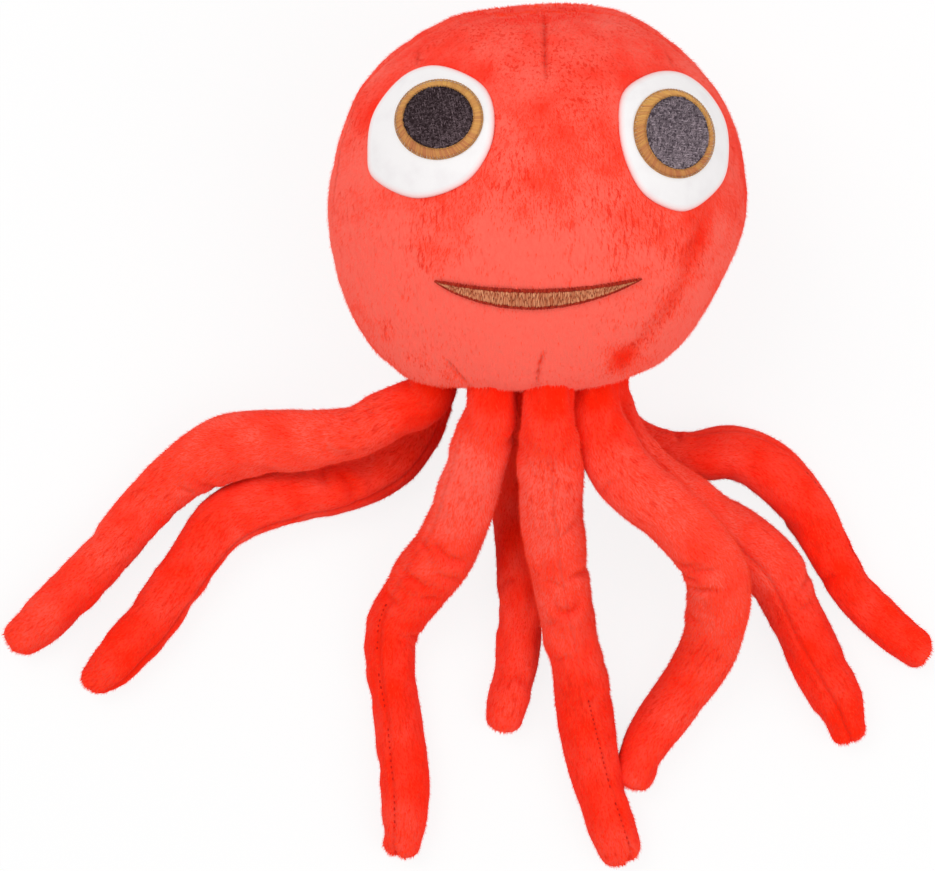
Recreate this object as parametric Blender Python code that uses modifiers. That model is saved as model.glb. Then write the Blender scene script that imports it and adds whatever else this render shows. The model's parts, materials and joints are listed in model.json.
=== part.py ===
"""A plush octopus lying on its back on a table, face up, with its eight stuffed arms spread out.

Metres, +Z up, +X to the viewer's right, +Y towards the crown of the head. The origin is on the
table, under the middle of the head. Left and right are the viewer's, looking down at the face.
"""

import math

import bmesh
import bpy
from mathutils import Matrix, Vector

for old in list(bpy.data.objects):
    bpy.data.objects.remove(old, do_unlink=True)

# Cloth and the gaps between sewn pieces
PLUSH_THICKNESS = 0.0015
SEAM_GAP = 0.0003
REST_FLAT_DEPTH = 0.0005

# Head: a turned form on an axis that runs from the crown to the flat base
HEAD_WIDTH = 0.163
HEAD_DEPTH = 0.150
HEAD_HEIGHT = 0.141
HEAD_MIDDLE_SHARE = 0.534
HEAD_TILT = math.radians(15)
HEAD_SIDES = 32
HEAD_STATIONS = 14
# Along the axis from the crown, and the half-width there, as shares of the height and half-width
HEAD_OUTLINE_SHARES = (
    (0.0, 0.0),
    (0.018, 0.28),
    (0.064, 0.51),
    (0.12, 0.655),
    (0.22, 0.83),
    (0.34, 0.94),
    (0.45, 0.985),
    (0.56, 1.0),
    (0.67, 0.975),
    (0.78, 0.905),
    (0.88, 0.80),
    (0.95, 0.70),
    (1.0, 0.60),
)

# Eyes and mouth, sized and placed as they are seen from in front of the face
EYE_PATCH_THICKNESS = 0.0012
EYE_PATCH_GAP = 0.0005
THREAD_THICKNESS = 0.0008
EYE_SIDES = 24
PATCH_RING_SHARES = (0.3, 0.65, 1.0)
EYE_SIZES = {"left": (0.0478, 0.0508), "right": (0.0418, 0.0518)}
EYE_PLACE_SHARES = {"left": (-0.502, 0.260), "right": (0.607, 0.211)}
IRIS_SIZES = {"left": (0.0326, 0.0293), "right": (0.0300, 0.0332)}
PUPIL_SIZES = {"left": (0.0262, 0.0234), "right": (0.0246, 0.0276)}
IRIS_PLACE_SHARES = {"left": (0.155, 0.205), "right": (0.0, 0.13)}
MOUTH_WIDTH = 0.0745
MOUTH_HEIGHT = 0.0068
MOUTH_END_HEIGHT = 0.0008
MOUTH_PLACE_SHARES = (-0.016, -0.475)
MOUTH_SAG_SHARE = 0.05
MOUTH_STATIONS = 16
FACE_SEARCH_STEPS = 40

# Arms: all are cut alike, sewn in a ring round the base, and lie as the photograph shows
ARM_COUNT = 8
ARM_ROOT_RADIUS = 0.012
ARM_SPAN = 0.200
ARM_ROOT_GAP = 0.003
ARM_REST_GAP = 0.0015
ARM_RING_TURN = math.radians(-5)
SLEEVE_SIDES = 12
FILLING_SIDES = 8
ARM_STATIONS = 12
PATH_STEPS = 10
# Along the arm from its root, and the radius there as a share of the root radius
ARM_GIRTH_SHARES = ((0.0, 1.0), (0.12, 1.0), (0.35, 0.945), (0.6, 0.885), (0.85, 0.835), (1.0, 0.785))
ROOT_DOME = (math.radians(75), math.radians(40))
TIP_DOME = (math.radians(25), math.radians(50), math.radians(72))
# Each arm's place in the ring, in steps from the +X side, and its route from its root. A point is
# across and along in shares of the span, and how many arm thicknesses it lies above the table.
ARM_STEPS = {
    "right_lower": 0,
    "front_right": 1,
    "centre": 2,
    "front_left": 3,
    "left_upper": 4,
    "left_lower": 5,
    "back_middle": 6,
    "right_upper": 7,
}
ARM_ROUTE_SHARES = {
    "right_lower": (
        (0.062, -0.106, 1.35),
        (0.132, -0.190, 0.88),
        (0.187, -0.256, 0.49),
        (0.283, -0.328, 0.25),
        (0.331, -0.395, 0.06),
        (0.366, -0.467, 0.0),
        (0.403, -0.549, 0.0),
        (0.442, -0.630, 0.0),
        (0.460, -0.685, 0.0),
    ),
    "front_right": (
        (0.013, -0.070, 2.57),
        (0.045, -0.139, 2.45),
        (0.126, -0.184, 2.33),
        (0.191, -0.253, 2.03),
        (0.228, -0.345, 1.43),
        (0.230, -0.429, 0.74),
        (0.202, -0.514, 0.22),
        (0.154, -0.596, 0.0),
        (0.130, -0.647, 0.0),
        (0.112, -0.703, 0.0),
        (0.102, -0.745, 0.0),
    ),
    "centre": (
        (0.004, -0.060, 2.93),
        (0.016, -0.198, 1.93),
        (0.034, -0.309, 1.33),
        (0.047, -0.401, 0.95),
        (0.067, -0.495, 0.56),
        (0.084, -0.579, 0.22),
        (0.093, -0.662, 0.0),
        (0.107, -0.743, 0.0),
        (0.124, -0.819, 0.0),
        (0.140, -0.882, 0.0),
    ),
    "front_left": (
        (0.003, -0.051, 2.66),
        (-0.025, -0.130, 1.96),
        (-0.067, -0.261, 0.97),
        (-0.122, -0.345, 0.33),
        (-0.169, -0.428, 0.0),
        (-0.179, -0.509, 0.0),
        (-0.167, -0.591, 0.0),
        (-0.155, -0.672, 0.0),
        (-0.149, -0.754, 0.0),
        (-0.151, -0.836, 0.0),
        (-0.157, -0.891, 0.0),
    ),
    "left_upper": (
        (-0.083, -0.023, 1.78),
        (-0.153, -0.058, 1.48),
        (-0.301, -0.084, 0.97),
        (-0.470, -0.117, 0.42),
        (-0.606, -0.211, 0.03),
        (-0.685, -0.296, 0.0),
        (-0.757, -0.378, 0.0),
        (-0.830, -0.459, 0.0),
        (-0.863, -0.490, 0.0),
    ),
    "left_lower": (
        (-0.076, -0.116, 0.16),
        (-0.168, -0.191, 0.0),
        (-0.310, -0.236, 0.0),
        (-0.469, -0.274, 0.0),
        (-0.550, -0.354, 0.0),
        (-0.589, -0.411, 0.0),
        (-0.653, -0.492, 0.0),
        (-0.718, -0.574, 0.0),
        (-0.759, -0.621, 0.0),
    ),
    "back_middle": (
        (-0.019, -0.132, 0.03),
        (-0.033, -0.301, 0.0),
        (-0.023, -0.437, 0.0),
        (-0.025, -0.560, 0.0),
        (-0.031, -0.631, 0.0),
        (-0.043, -0.702, 0.0),
    ),
    "right_upper": (
        (0.089, -0.056, 0.24),
        (0.188, -0.117, 0.0),
        (0.296, -0.152, 0.0),
        (0.384, -0.203, 0.0),
        (0.430, -0.254, 0.0),
        (0.459, -0.294, 0.0),
        (0.506, -0.376, 0.0),
        (0.567, -0.457, 0.0),
        (0.606, -0.498, 0.0),
        (0.657, -0.545, 0.0),
    ),
}

# Where the head lies: its axis leans so that the crown is a little higher than the base
AXIS = Vector((0, -math.cos(HEAD_TILT), -math.sin(HEAD_TILT)))
ACROSS = Vector((1, 0, 0))
FRONT = AXIS.cross(ACROSS)
HEAD_LENGTH_TO_BASE = HEAD_HEIGHT * (1 - HEAD_MIDDLE_SHARE)

# The ring of arms: neighbours at the root are ARM_ROOT_GAP apart
RING_RADIUS = (ARM_ROOT_RADIUS + ARM_ROOT_GAP / 2) / math.sin(math.pi / ARM_COUNT)
RING_OFFSET = HEAD_LENGTH_TO_BASE + SEAM_GAP + PLUSH_THICKNESS + SEAM_GAP + ARM_ROOT_RADIUS


def interpolate(table, place):
    """The value of a smooth curve through a table of (place, value) pairs."""
    last = len(table) - 1
    i = 0
    while i < last - 1 and place > table[i + 1][0]:
        i += 1
    (x0, y0), (x1, y1) = table[i], table[i + 1]
    before = table[max(i - 1, 0)]
    after = table[min(i + 2, last)]
    slope0 = (y1 - before[1]) / (x1 - before[0])
    slope1 = (after[1] - y0) / (after[0] - x0)
    t = (place - x0) / (x1 - x0)
    width = x1 - x0
    return (
        (2 * t**3 - 3 * t**2 + 1) * y0
        + (t**3 - 2 * t**2 + t) * slope0 * width
        + (3 * t**2 - 2 * t**3) * y1
        + (t**3 - t**2) * slope1 * width
    )


def head_station(i):
    """Stations are even round the head, so they bunch up where the outline turns fastest."""
    whole_turn = math.acos(1 - 1 / HEAD_MIDDLE_SHARE)
    return min(HEAD_MIDDLE_SHARE * (1 - math.cos(whole_turn * i / HEAD_STATIONS)), 1.0)


def add_ring(bm, centre, direction, width, depth, sides, cap=False):
    """One closed ring of the given half-width and half-depth, with a flat side underneath."""
    side = direction.cross(Vector((0, 0, 1))).normalized()
    up = side.cross(direction)
    frame = Matrix((side, up, direction)).transposed().to_4x4()
    frame.translation = centre
    place = frame @ Matrix.Diagonal((width, depth, 1, 1)) @ Matrix.Rotation(math.pi / sides, 4, "Z")
    made = bmesh.ops.create_circle(bm, cap_ends=cap, cap_tris=cap, segments=sides, radius=1, matrix=place)
    verts = set(made["verts"])
    return [e for e in bm.edges if e.verts[0] in verts and e.verts[1] in verts and len(e.link_faces) < 2]


def loft(bm, rings):
    """Joins each ring to the next, and turns the surface outwards."""
    for first, second in zip(rings, rings[1:]):
        bmesh.ops.bridge_loops(bm, edges=first + second)
    bmesh.ops.recalc_face_normals(bm, faces=bm.faces[:])


def head_surface(sides, cap_base):
    """The head's outer surface about the middle of the head, open at the base unless it is capped."""
    bm = bmesh.new()
    rings = []
    for i in range(1, HEAD_STATIONS + 1):
        share = head_station(i)
        girth = interpolate(HEAD_OUTLINE_SHARES, share)
        centre = AXIS * (HEAD_HEIGHT * (share - HEAD_MIDDLE_SHARE))
        capped = cap_base and i == HEAD_STATIONS
        width, depth = HEAD_WIDTH / 2 * girth, HEAD_DEPTH / 2 * girth
        rings.append(add_ring(bm, centre, AXIS, width, depth, sides, capped))
    crown = bmesh.ops.create_vert(bm, co=AXIS * (-HEAD_HEIGHT * HEAD_MIDDLE_SHARE))["vert"][0]
    for edge in rings[0]:
        bmesh.ops.contextual_create(bm, geom=[crown, edge.verts[0], edge.verts[1]])
    loft(bm, rings)
    return bm


def lowest(bm):
    return min(v.co.z for v in bm.verts)


def resting_middle():
    """The middle of the head, at the height where the table cuts REST_FLAT_DEPTH off its back."""
    surface = head_surface(HEAD_SIDES, False)
    height = -lowest(surface) - REST_FLAT_DEPTH
    surface.free()
    return Vector((0, 0, height))


HEAD_MIDDLE = resting_middle()
RING_MIDDLE = HEAD_MIDDLE + AXIS * RING_OFFSET


def material(name, colour, roughness):
    made = bpy.data.materials.new(name)
    made.use_nodes = True
    shader = made.node_tree.nodes["Principled BSDF"]
    shader.inputs["Base Color"].default_value = (*colour, 1)
    shader.inputs["Roughness"].default_value = roughness
    made.diffuse_color = (*colour, 1)
    return made


def finish(bm, name, look, parent=None, wall=None, outwards=False):
    """Makes the mesh an object in the octopus collection, with a wall of cloth if one is given."""
    mesh = bpy.data.meshes.new(name)
    bm.to_mesh(mesh)
    bm.free()
    mesh.shade_smooth()
    piece = bpy.data.objects.new(name, mesh)
    piece.data.materials.append(look)
    bpy.data.collections["plush_octopus"].objects.link(piece)
    piece.parent = parent
    if wall:
        shell = piece.modifiers.new("Cloth", "SOLIDIFY")
        shell.thickness = wall
        shell.offset = 1 if outwards else -1
    return piece


def pivot_empty(name, place):
    empty = bpy.data.objects.new(name, None)
    empty.empty_display_size = ARM_ROOT_RADIUS
    empty.location = place
    bpy.data.collections["plush_octopus"].objects.link(empty)
    return empty


def head_panel(name, look, parent, side):
    """Half of the head's cover, in front (side 1) or behind (side -1) of the seam round its sides.

    The inner edge of the cut leans over the seam by as much as the last facet does, so it starts
    that much further away.
    """
    bm = head_surface(HEAD_SIDES, False)
    lean = PLUSH_THICKNESS * math.sin(math.pi / HEAD_SIDES)
    away = FRONT * side
    bmesh.ops.bisect_plane(
        bm,
        geom=bm.verts[:] + bm.edges[:] + bm.faces[:],
        plane_co=away * (SEAM_GAP / 2 + lean),
        plane_no=away,
        clear_inner=True,
    )
    flatten_rest(bm)
    return finish(bm, name, look, parent, PLUSH_THICKNESS)


def flatten_rest(bm):
    """Cuts the surface level with the table and closes the cut with a flat face."""
    table = Vector((0, 0, -HEAD_MIDDLE.z))
    if lowest(bm) >= table.z:
        return
    cut = bmesh.ops.bisect_plane(
        bm,
        geom=bm.verts[:] + bm.edges[:] + bm.faces[:],
        plane_co=table,
        plane_no=Vector((0, 0, 1)),
        clear_inner=True,
    )
    edges = [e for e in cut["geom_cut"] if isinstance(e, bmesh.types.BMEdge)]
    bmesh.ops.edgeloop_fill(bm, edges=edges)
    bmesh.ops.recalc_face_normals(bm, faces=bm.faces[:])


def head_base(look, parent):
    """The flat panel that closes the head. The arms are sewn to it."""
    end_share = HEAD_OUTLINE_SHARES[-1][1]
    bm = bmesh.new()
    place = AXIS.to_track_quat("Z", "X").to_matrix().to_4x4()
    place.translation = AXIS * (HEAD_LENGTH_TO_BASE + SEAM_GAP + PLUSH_THICKNESS / 2)
    bmesh.ops.create_cone(
        bm, cap_ends=True, segments=HEAD_SIDES, radius1=1, radius2=1, depth=PLUSH_THICKNESS, matrix=place
    )
    middle = place.translation
    for v in bm.verts:
        out = v.co - middle
        along, across, front = out.dot(AXIS), out.dot(ACROSS), out.dot(FRONT)
        v.co = middle + AXIS * along
        v.co += ACROSS * across * HEAD_WIDTH / 2 * end_share
        v.co += FRONT * front * HEAD_DEPTH / 2 * end_share
    return finish(bm, "head_base_panel", look, parent)


def head_filling(look, parent):
    """The stuffing, a little inside the cover all round."""
    inset = PLUSH_THICKNESS + REST_FLAT_DEPTH + 2 * SEAM_GAP
    bm = head_surface(HEAD_SIDES // 2, True)
    bm.normal_update()
    for v, normal in [(v, v.normal.copy()) for v in bm.verts]:
        v.co -= normal * inset
    return finish(bm, "head_filling", look, parent)


def outside_head(place):
    """Above zero outside the head's outer surface, for a place measured from the head's middle."""
    share = place.dot(AXIS) / HEAD_HEIGHT + HEAD_MIDDLE_SHARE
    if not 0 < share < 1:
        return 1
    round_share = math.hypot(place.dot(ACROSS) / (HEAD_WIDTH / 2), place.dot(FRONT) / (HEAD_DEPTH / 2))
    return round_share - interpolate(HEAD_OUTLINE_SHARES, share)


def face_height(across, along):
    """How high the face is, above the head's middle, at a place seen from in front of it."""
    low, high = 0.0, HEAD_DEPTH
    for _ in range(FACE_SEARCH_STEPS):
        middle = (low + high) / 2
        if outside_head(Vector((across, along, middle))) > 0:
            high = middle
        else:
            low = middle
    return low


def on_face(across, along, lift):
    """The place on the face, lifted off the cover."""
    step = EYE_PATCH_GAP
    here = Vector((across, along, face_height(across, along)))
    right = Vector((across + step, along, face_height(across + step, along)))
    above = Vector((across, along + step, face_height(across, along + step)))
    return here + (right - here).cross(above - here).normalized() * lift


def face_place(shares):
    return shares[0] * HEAD_WIDTH / 2, shares[1] * HEAD_DEPTH / 2


def round_patch(name, look, parent, place, outer, inner, lift, thickness):
    """An oval patch that follows the face. Where inner is given, it is a ring round that oval."""
    bm = bmesh.new()
    rings = []
    sizes = [inner, outer] if inner else [(outer[0] * s, outer[1] * s) for s in PATCH_RING_SHARES]
    for width, height in sizes:
        turn = Matrix.Translation((*place, 0)) @ Matrix.Diagonal((width / 2, height / 2, 1, 1))
        capped = not inner and not rings
        made = bmesh.ops.create_circle(
            bm, cap_ends=capped, cap_tris=capped, segments=EYE_SIDES, radius=1, matrix=turn
        )
        verts = set(made["verts"])
        edges = [e for e in bm.edges if e.verts[0] in verts and e.verts[1] in verts]
        rings.append([e for e in edges if len(e.link_faces) < 2])
    for first, second in zip(rings, rings[1:]):
        bmesh.ops.bridge_loops(bm, edges=first + second)
    for v in bm.verts:
        v.co = on_face(v.co.x, v.co.y, lift)
    face_up(bm)
    return finish(bm, name, look, parent, thickness, outwards=True)


def face_up(bm):
    bmesh.ops.recalc_face_normals(bm, faces=bm.faces[:])
    bm.normal_update()
    if sum(f.normal.z for f in bm.faces) < 0:
        bmesh.ops.reverse_faces(bm, faces=bm.faces[:])


def eye(side, looks, parent):
    """A cloth patch with an embroidered iris ring and an embroidered pupil inside the ring."""
    place = face_place(EYE_PLACE_SHARES[side])
    size = EYE_SIZES[side]
    round_patch(
        side + "_eye_patch", looks["eye"], parent, place, size, None, EYE_PATCH_GAP, EYE_PATCH_THICKNESS
    )
    lift = EYE_PATCH_GAP + EYE_PATCH_THICKNESS + EYE_PATCH_GAP
    shift = IRIS_PLACE_SHARES[side]
    middle = (place[0] + shift[0] * size[0] / 2, place[1] + shift[1] * size[1] / 2)
    pupil = PUPIL_SIZES[side]
    hole = (pupil[0] + 2 * SEAM_GAP, pupil[1] + 2 * SEAM_GAP)
    name = side + "_iris"
    round_patch(name, looks["iris"], parent, middle, IRIS_SIZES[side], hole, lift, THREAD_THICKNESS)
    name = side + "_pupil"
    round_patch(name, looks["pupil"], parent, middle, pupil, None, lift, THREAD_THICKNESS)


def mouth(look, parent):
    """An embroidered smile: a crescent that follows the face, thickest in the middle."""
    middle = face_place(MOUTH_PLACE_SHARES)
    bm = bmesh.new()
    bmesh.ops.create_grid(bm, x_segments=MOUTH_STATIONS, y_segments=2, size=1)
    for v in bm.verts:
        fullness = 1 - v.co.x**2
        height = MOUTH_END_HEIGHT + (MOUTH_HEIGHT - MOUTH_END_HEIGHT) * fullness
        top = -MOUTH_SAG_SHARE * MOUTH_WIDTH * fullness
        across = middle[0] + v.co.x * MOUTH_WIDTH / 2
        along = middle[1] + top - height * (1 - v.co.y) / 2
        v.co = on_face(across, along, EYE_PATCH_GAP)
    face_up(bm)
    return finish(bm, "mouth_embroidery", look, parent, THREAD_THICKNESS, outwards=True)


def arm_radius(share):
    return ARM_ROOT_RADIUS * interpolate(ARM_GIRTH_SHARES, share)


def table_height(radius):
    """How high the middle of an arm is when the flat under it lies on the table."""
    return radius * math.cos(math.pi / SLEEVE_SIDES)


def arm_pivot(name):
    turn = ARM_RING_TURN + ARM_STEPS[name] * 2 * math.pi / ARM_COUNT
    return RING_MIDDLE + (ACROSS * math.cos(turn) + FRONT * math.sin(turn)) * RING_RADIUS


def arm_path(name):
    """A smooth line from the arm's root to its tip, as points and the length up to each.

    A point's height is what the arm has there above its own height when it lies on the table.
    """
    root = arm_pivot(name)
    thickness = 2 * arm_radius(0.5) + ARM_REST_GAP
    marks = [Vector((root.x, root.y, root.z - table_height(arm_radius(0))))]
    for across, along, level in ARM_ROUTE_SHARES[name]:
        marks.append(Vector((root.x + across * ARM_SPAN, root.y + along * ARM_SPAN, level * thickness)))
    marks = [marks[0] * 2 - marks[1], *marks, marks[-1] * 2 - marks[-2]]
    points = []
    for a, b, c, d in zip(marks, marks[1:], marks[2:], marks[3:]):
        for step in range(PATH_STEPS):
            t = step / PATH_STEPS
            bend = (a * 2 - b * 5 + c * 4 - d) * t**2 + (b * 3 - a - c * 3 + d) * t**3
            point = (b * 2 + (c - a) * t + bend) / 2
            point.z = max(point.z, 0)
            points.append(point)
    points.append(marks[-2])
    lengths = [0.0]
    for first, second in zip(points, points[1:]):
        lengths.append(lengths[-1] + (second - first).length)
    return points, lengths


def along_path(path, length):
    """The place and direction at a length along the path, which runs on straight past its ends."""
    points, lengths = path
    last = len(points) - 2
    i = 0
    while i < last and length > lengths[i + 1]:
        i += 1
    way = (points[i + 1] - points[i]).normalized()
    place = points[i] + way * (length - lengths[i])
    place.z += table_height(arm_radius(min(max(length / lengths[-1], 0), 1)))
    return place, way


def arm_surface(path, girth, sides, capped):
    """The swelling and tapering form of an arm, round at both ends, open at the root unless capped."""
    bm = bmesh.new()
    end = path[1][-1]
    root, _ = along_path(path, 0)
    first, last = girth(0), girth(1)
    stations = [(-first * math.sin(a), first * math.cos(a)) for a in ROOT_DOME]
    stations += [(end * i / ARM_STATIONS, girth(i / ARM_STATIONS)) for i in range(ARM_STATIONS + 1)]
    stations += [(end + last * math.sin(a), last * math.cos(a)) for a in TIP_DOME]
    rings = []
    for i, (length, radius) in enumerate(stations):
        place, _ = along_path(path, length)
        _, before = along_path(path, length - ARM_ROOT_RADIUS / 2)
        _, after = along_path(path, length + ARM_ROOT_RADIUS / 2)
        way = (before + after).normalized()
        is_end = i == len(stations) - 1 or (capped and i == 0)
        rings.append(add_ring(bm, place - root, way, radius, radius, sides, is_end))
    loft(bm, rings)
    return bm


def arm(name, looks):
    """A sleeve of plush and the stuffing inside it, hung on an empty at the seam they turn on."""
    path = arm_path(name)
    empty = pivot_empty(name + "_arm_pivot", arm_pivot(name))
    sleeve = arm_surface(path, arm_radius, SLEEVE_SIDES, False)
    finish(sleeve, name + "_arm_sleeve", looks["plush"], empty, PLUSH_THICKNESS)

    def stuffing_radius(share):
        inside = arm_radius(share) - PLUSH_THICKNESS
        return inside * math.cos(math.pi / SLEEVE_SIDES) - 2 * SEAM_GAP

    filling = arm_surface(path, stuffing_radius, FILLING_SIDES, True)
    finish(filling, name + "_arm_filling", looks["filling"], empty)


def build_octopus():
    bpy.context.scene.collection.children.link(bpy.data.collections.new("plush_octopus"))
    looks = {
        "plush": material("red_plush", (0.95, 0.062, 0.026), 0.95),
        "filling": material("polyester_filling", (0.90, 0.90, 0.88), 1.0),
        "eye": material("white_knit", (0.90, 0.88, 0.89), 0.75),
        "iris": material("brown_thread", (0.55, 0.22, 0.08), 0.6),
        "pupil": material("dark_thread", (0.055, 0.035, 0.038), 0.6),
        "mouth": material("mouth_thread", (0.47, 0.13, 0.06), 0.6),
    }
    head = pivot_empty("head_middle", HEAD_MIDDLE)
    head_panel("head_front_panel", looks["plush"], head, 1)
    head_panel("head_back_panel", looks["plush"], head, -1)
    head_base(looks["plush"], head)
    head_filling(looks["filling"], head)
    for side in ("left", "right"):
        eye(side, looks, head)
    mouth(looks["mouth"], head)
    for name in ARM_STEPS:
        arm(name, looks)


build_octopus()
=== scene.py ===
import json
import math

import bmesh
import bpy
import numpy as np
from mathutils import Matrix, Vector, noise
from mathutils.bvhtree import BVHTree
from mathutils.kdtree import KDTree


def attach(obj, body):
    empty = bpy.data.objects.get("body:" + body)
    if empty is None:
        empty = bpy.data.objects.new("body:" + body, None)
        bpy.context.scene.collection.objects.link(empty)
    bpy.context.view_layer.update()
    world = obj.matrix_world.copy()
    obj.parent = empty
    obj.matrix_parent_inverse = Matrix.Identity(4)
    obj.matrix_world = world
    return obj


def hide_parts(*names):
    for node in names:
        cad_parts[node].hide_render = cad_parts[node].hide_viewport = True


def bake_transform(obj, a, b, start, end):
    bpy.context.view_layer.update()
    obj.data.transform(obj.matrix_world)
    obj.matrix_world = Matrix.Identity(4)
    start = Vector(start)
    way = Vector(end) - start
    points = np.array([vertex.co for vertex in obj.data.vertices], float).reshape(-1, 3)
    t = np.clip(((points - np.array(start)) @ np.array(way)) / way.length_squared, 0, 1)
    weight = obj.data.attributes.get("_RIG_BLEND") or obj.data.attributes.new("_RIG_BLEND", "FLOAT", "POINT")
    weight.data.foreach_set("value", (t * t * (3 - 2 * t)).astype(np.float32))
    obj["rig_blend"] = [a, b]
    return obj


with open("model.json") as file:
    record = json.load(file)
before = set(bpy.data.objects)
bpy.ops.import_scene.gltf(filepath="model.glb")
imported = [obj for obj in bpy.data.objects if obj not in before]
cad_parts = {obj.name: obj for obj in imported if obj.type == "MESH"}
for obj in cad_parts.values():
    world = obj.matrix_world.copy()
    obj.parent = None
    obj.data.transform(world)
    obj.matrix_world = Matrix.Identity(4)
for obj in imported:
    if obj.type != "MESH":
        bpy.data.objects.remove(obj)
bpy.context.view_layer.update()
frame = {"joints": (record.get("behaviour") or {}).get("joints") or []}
pivots = {j["child"]: Vector(j["pos_m"]) for j in frame["joints"]}
rng = np.random.default_rng(8)
up = Vector((0, 0, 1))

# The view is straight down, from over the middle of the whole toy
camera = {"over": (-0.0270, -0.0926), "height": 1.4, "lens": 131.4, "sensor": 36}
cameraPlace = Vector((*camera["over"], camera["height"]))


# Shader and geometry nodes

class Wire:
    # A socket. Sums on it add Math nodes, and node() adds any other node to its tree.
    def __init__(self, tree, socket=None):
        self.tree = tree
        self.socket = socket

    def node(self, kind, settings=None, values=None, out=0):
        made = self.tree.nodes.new(kind)
        for key, value in (settings or {}).items():
            setattr(made, key, value)
        for key, value in (values or {}).items():
            if isinstance(value, Wire):
                self.tree.links.new(value.socket, made.inputs[key])
            else:
                made.inputs[key].default_value = value
        return Wire(self.tree, made.outputs[out])

    def beside(self, out):
        # Another socket of the same node
        return Wire(self.tree, self.socket.node.outputs[out])

    def maths(self, operation, first, second=0.0):
        return self.node("ShaderNodeMath", {"operation": operation}, {0: first, 1: second})

    def __add__(self, other):
        return self.maths("ADD", self, other)

    def __sub__(self, other):
        return self.maths("SUBTRACT", self, other)

    def __rsub__(self, other):
        return self.maths("SUBTRACT", other, self)

    def __mul__(self, other):
        return self.maths("MULTIPLY", self, other)

    __radd__ = __add__
    __rmul__ = __mul__

    def clip(self, low, high):
        # 0 below low, 1 above high
        settings = {"interpolation_type": "SMOOTHSTEP"}
        return self.node("ShaderNodeMapRange", settings, {"Value": self, "From Min": low, "From Max": high})

    def vector(self, operation, other):
        # Vector Math; a plain number stands for all three directions
        other = (other,) * 3 if isinstance(other, (int, float)) else other
        return self.node("ShaderNodeVectorMath", {"operation": operation}, {0: self, 1: other})

    def speckle(self, by, detail=2.0, rough=0.5):
        # Noise with by lumps on a metre, or by[0], by[1] and by[2] along the three directions
        values = {"Scale": 1.0, "Detail": detail, "Roughness": rough}
        return self.node("ShaderNodeTexNoise", None, {"Vector": self.vector("MULTIPLY", by), **values})

    def attribute(self, name, out="Vector"):
        if self.tree.type == "GEOMETRY":
            kind = "FLOAT_VECTOR" if out == "Vector" else "FLOAT"
            return self.node("GeometryNodeInputNamedAttribute", {"data_type": kind}, {"Name": name})
        return self.node("ShaderNodeAttribute", {"attribute_name": name}, None, out)

    def coloured(self, mask, first, second):
        return self.node("ShaderNodeMix", {"data_type": "RGBA"}, {0: mask, 6: first, 7: second}, 2)

    def bumped(self, strength, distance, height):
        sizes = {"Strength": strength, "Distance": distance, "Height": height}
        return self.node("ShaderNodeBump", None, sizes)


def linear(red, green, blue):
    # A colour as it is read off the photograph, 0 to 255, as Blender wants it
    shares = [c / 255 for c in (red, green, blue)]
    return tuple(c / 12.92 if c <= 0.04045 else ((c + 0.055) / 1.055) ** 2.4 for c in shares)


def newLook(name, colour, roughness, sheen=0.0, sheenTint=(1, 1, 1), specular=0.3):
    look = bpy.data.materials.new(name)
    look.use_nodes = True
    shader = look.node_tree.nodes["Principled BSDF"]
    shader.inputs["Base Color"].default_value = (*colour, 1)
    shader.inputs["Roughness"].default_value = roughness
    shader.inputs["Sheen Weight"].default_value = sheen
    shader.inputs["Sheen Roughness"].default_value = 0.5
    shader.inputs["Sheen Tint"].default_value = (*sheenTint, 1)
    shader.inputs["Specular IOR Level"].default_value = specular
    look.diffuse_color = (*colour, 1)
    return look, shader, Wire(look.node_tree)


def plug(shader, name, wire):
    wire.tree.links.new(wire.socket, shader.inputs[name])


plush = {
    # deep to light: the reds between which the tint paints the plush's light and shade and its own tone
    "deep": linear(255, 39, 6),
    "base": linear(255, 68, 36),
    "light": linear(255, 108, 92),
    "mark": linear(236, 48, 26),
    # the seams' dark red, also painted as shade in the arms' creases
    "seam": linear(150, 18, 12),
    "sheenTint": (1.0, 0.45, 0.38),
    "patch": 30,            # how many colour patches go on a metre
    "patchiness": 1.3,
    "smallPatch": 85,
    "smallPatchiness": 0.8,
    "stroke": (900, 200),   # darker strokes: how many on a metre across the nap and along it
    "strokeEdge": (0.54, 0.66),
    "strokeDepth": 0.20,
    "cluster": 38,
    "clusterEdge": (0.38, 0.58),
    "loose": 0.3,           # how strong the strokes are outside the clusters, and how much more in them
    "clustered": 0.6,
    "markFade": (0.40, 1.15),       # between these tones the strokes' own red fades out
    "markDepth": 0.6,
    "hair": (900, 300),     # the clumped hairs in the pile's relief, and finer ones on them
    "hairHeight": 0.8,
    "fineHair": (1800, 500),
    "fineHairHeight": 0.6,
    "relief": 0.0008,
}


def alongNap(count):
    across, along = count
    return across, along, across


def plushStrokes(w):
    # Short strokes along the nap, in clusters
    laid = w.attribute("laid")
    strokes = laid.speckle(alongNap(plush["stroke"]), 1.0).clip(*plush["strokeEdge"])
    clusters = laid.speckle(plush["cluster"]).clip(*plush["clusterEdge"])
    return strokes * (clusters * plush["clustered"] + plush["loose"])


def plushTone(w):
    # How light the plush is, from 0 to 1: each point's own tint, which holds painted light and shade besides
    # the plush's own tone, soft patches over it, and the strokes
    laid = w.attribute("laid")
    patches = laid.speckle(plush["patch"], 2.5) * plush["patchiness"]
    patches = patches + laid.speckle(plush["smallPatch"], 1.5) * plush["smallPatchiness"]
    middle = (plush["patchiness"] + plush["smallPatchiness"]) / 2
    patchy = w.attribute("patchy", "Fac")
    tone = w.maths("MINIMUM", w.attribute("tint", "Fac") + (patches - middle) * patchy, 1.0)
    return tone - plushStrokes(w) * patchy * plush["strokeDepth"]


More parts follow.
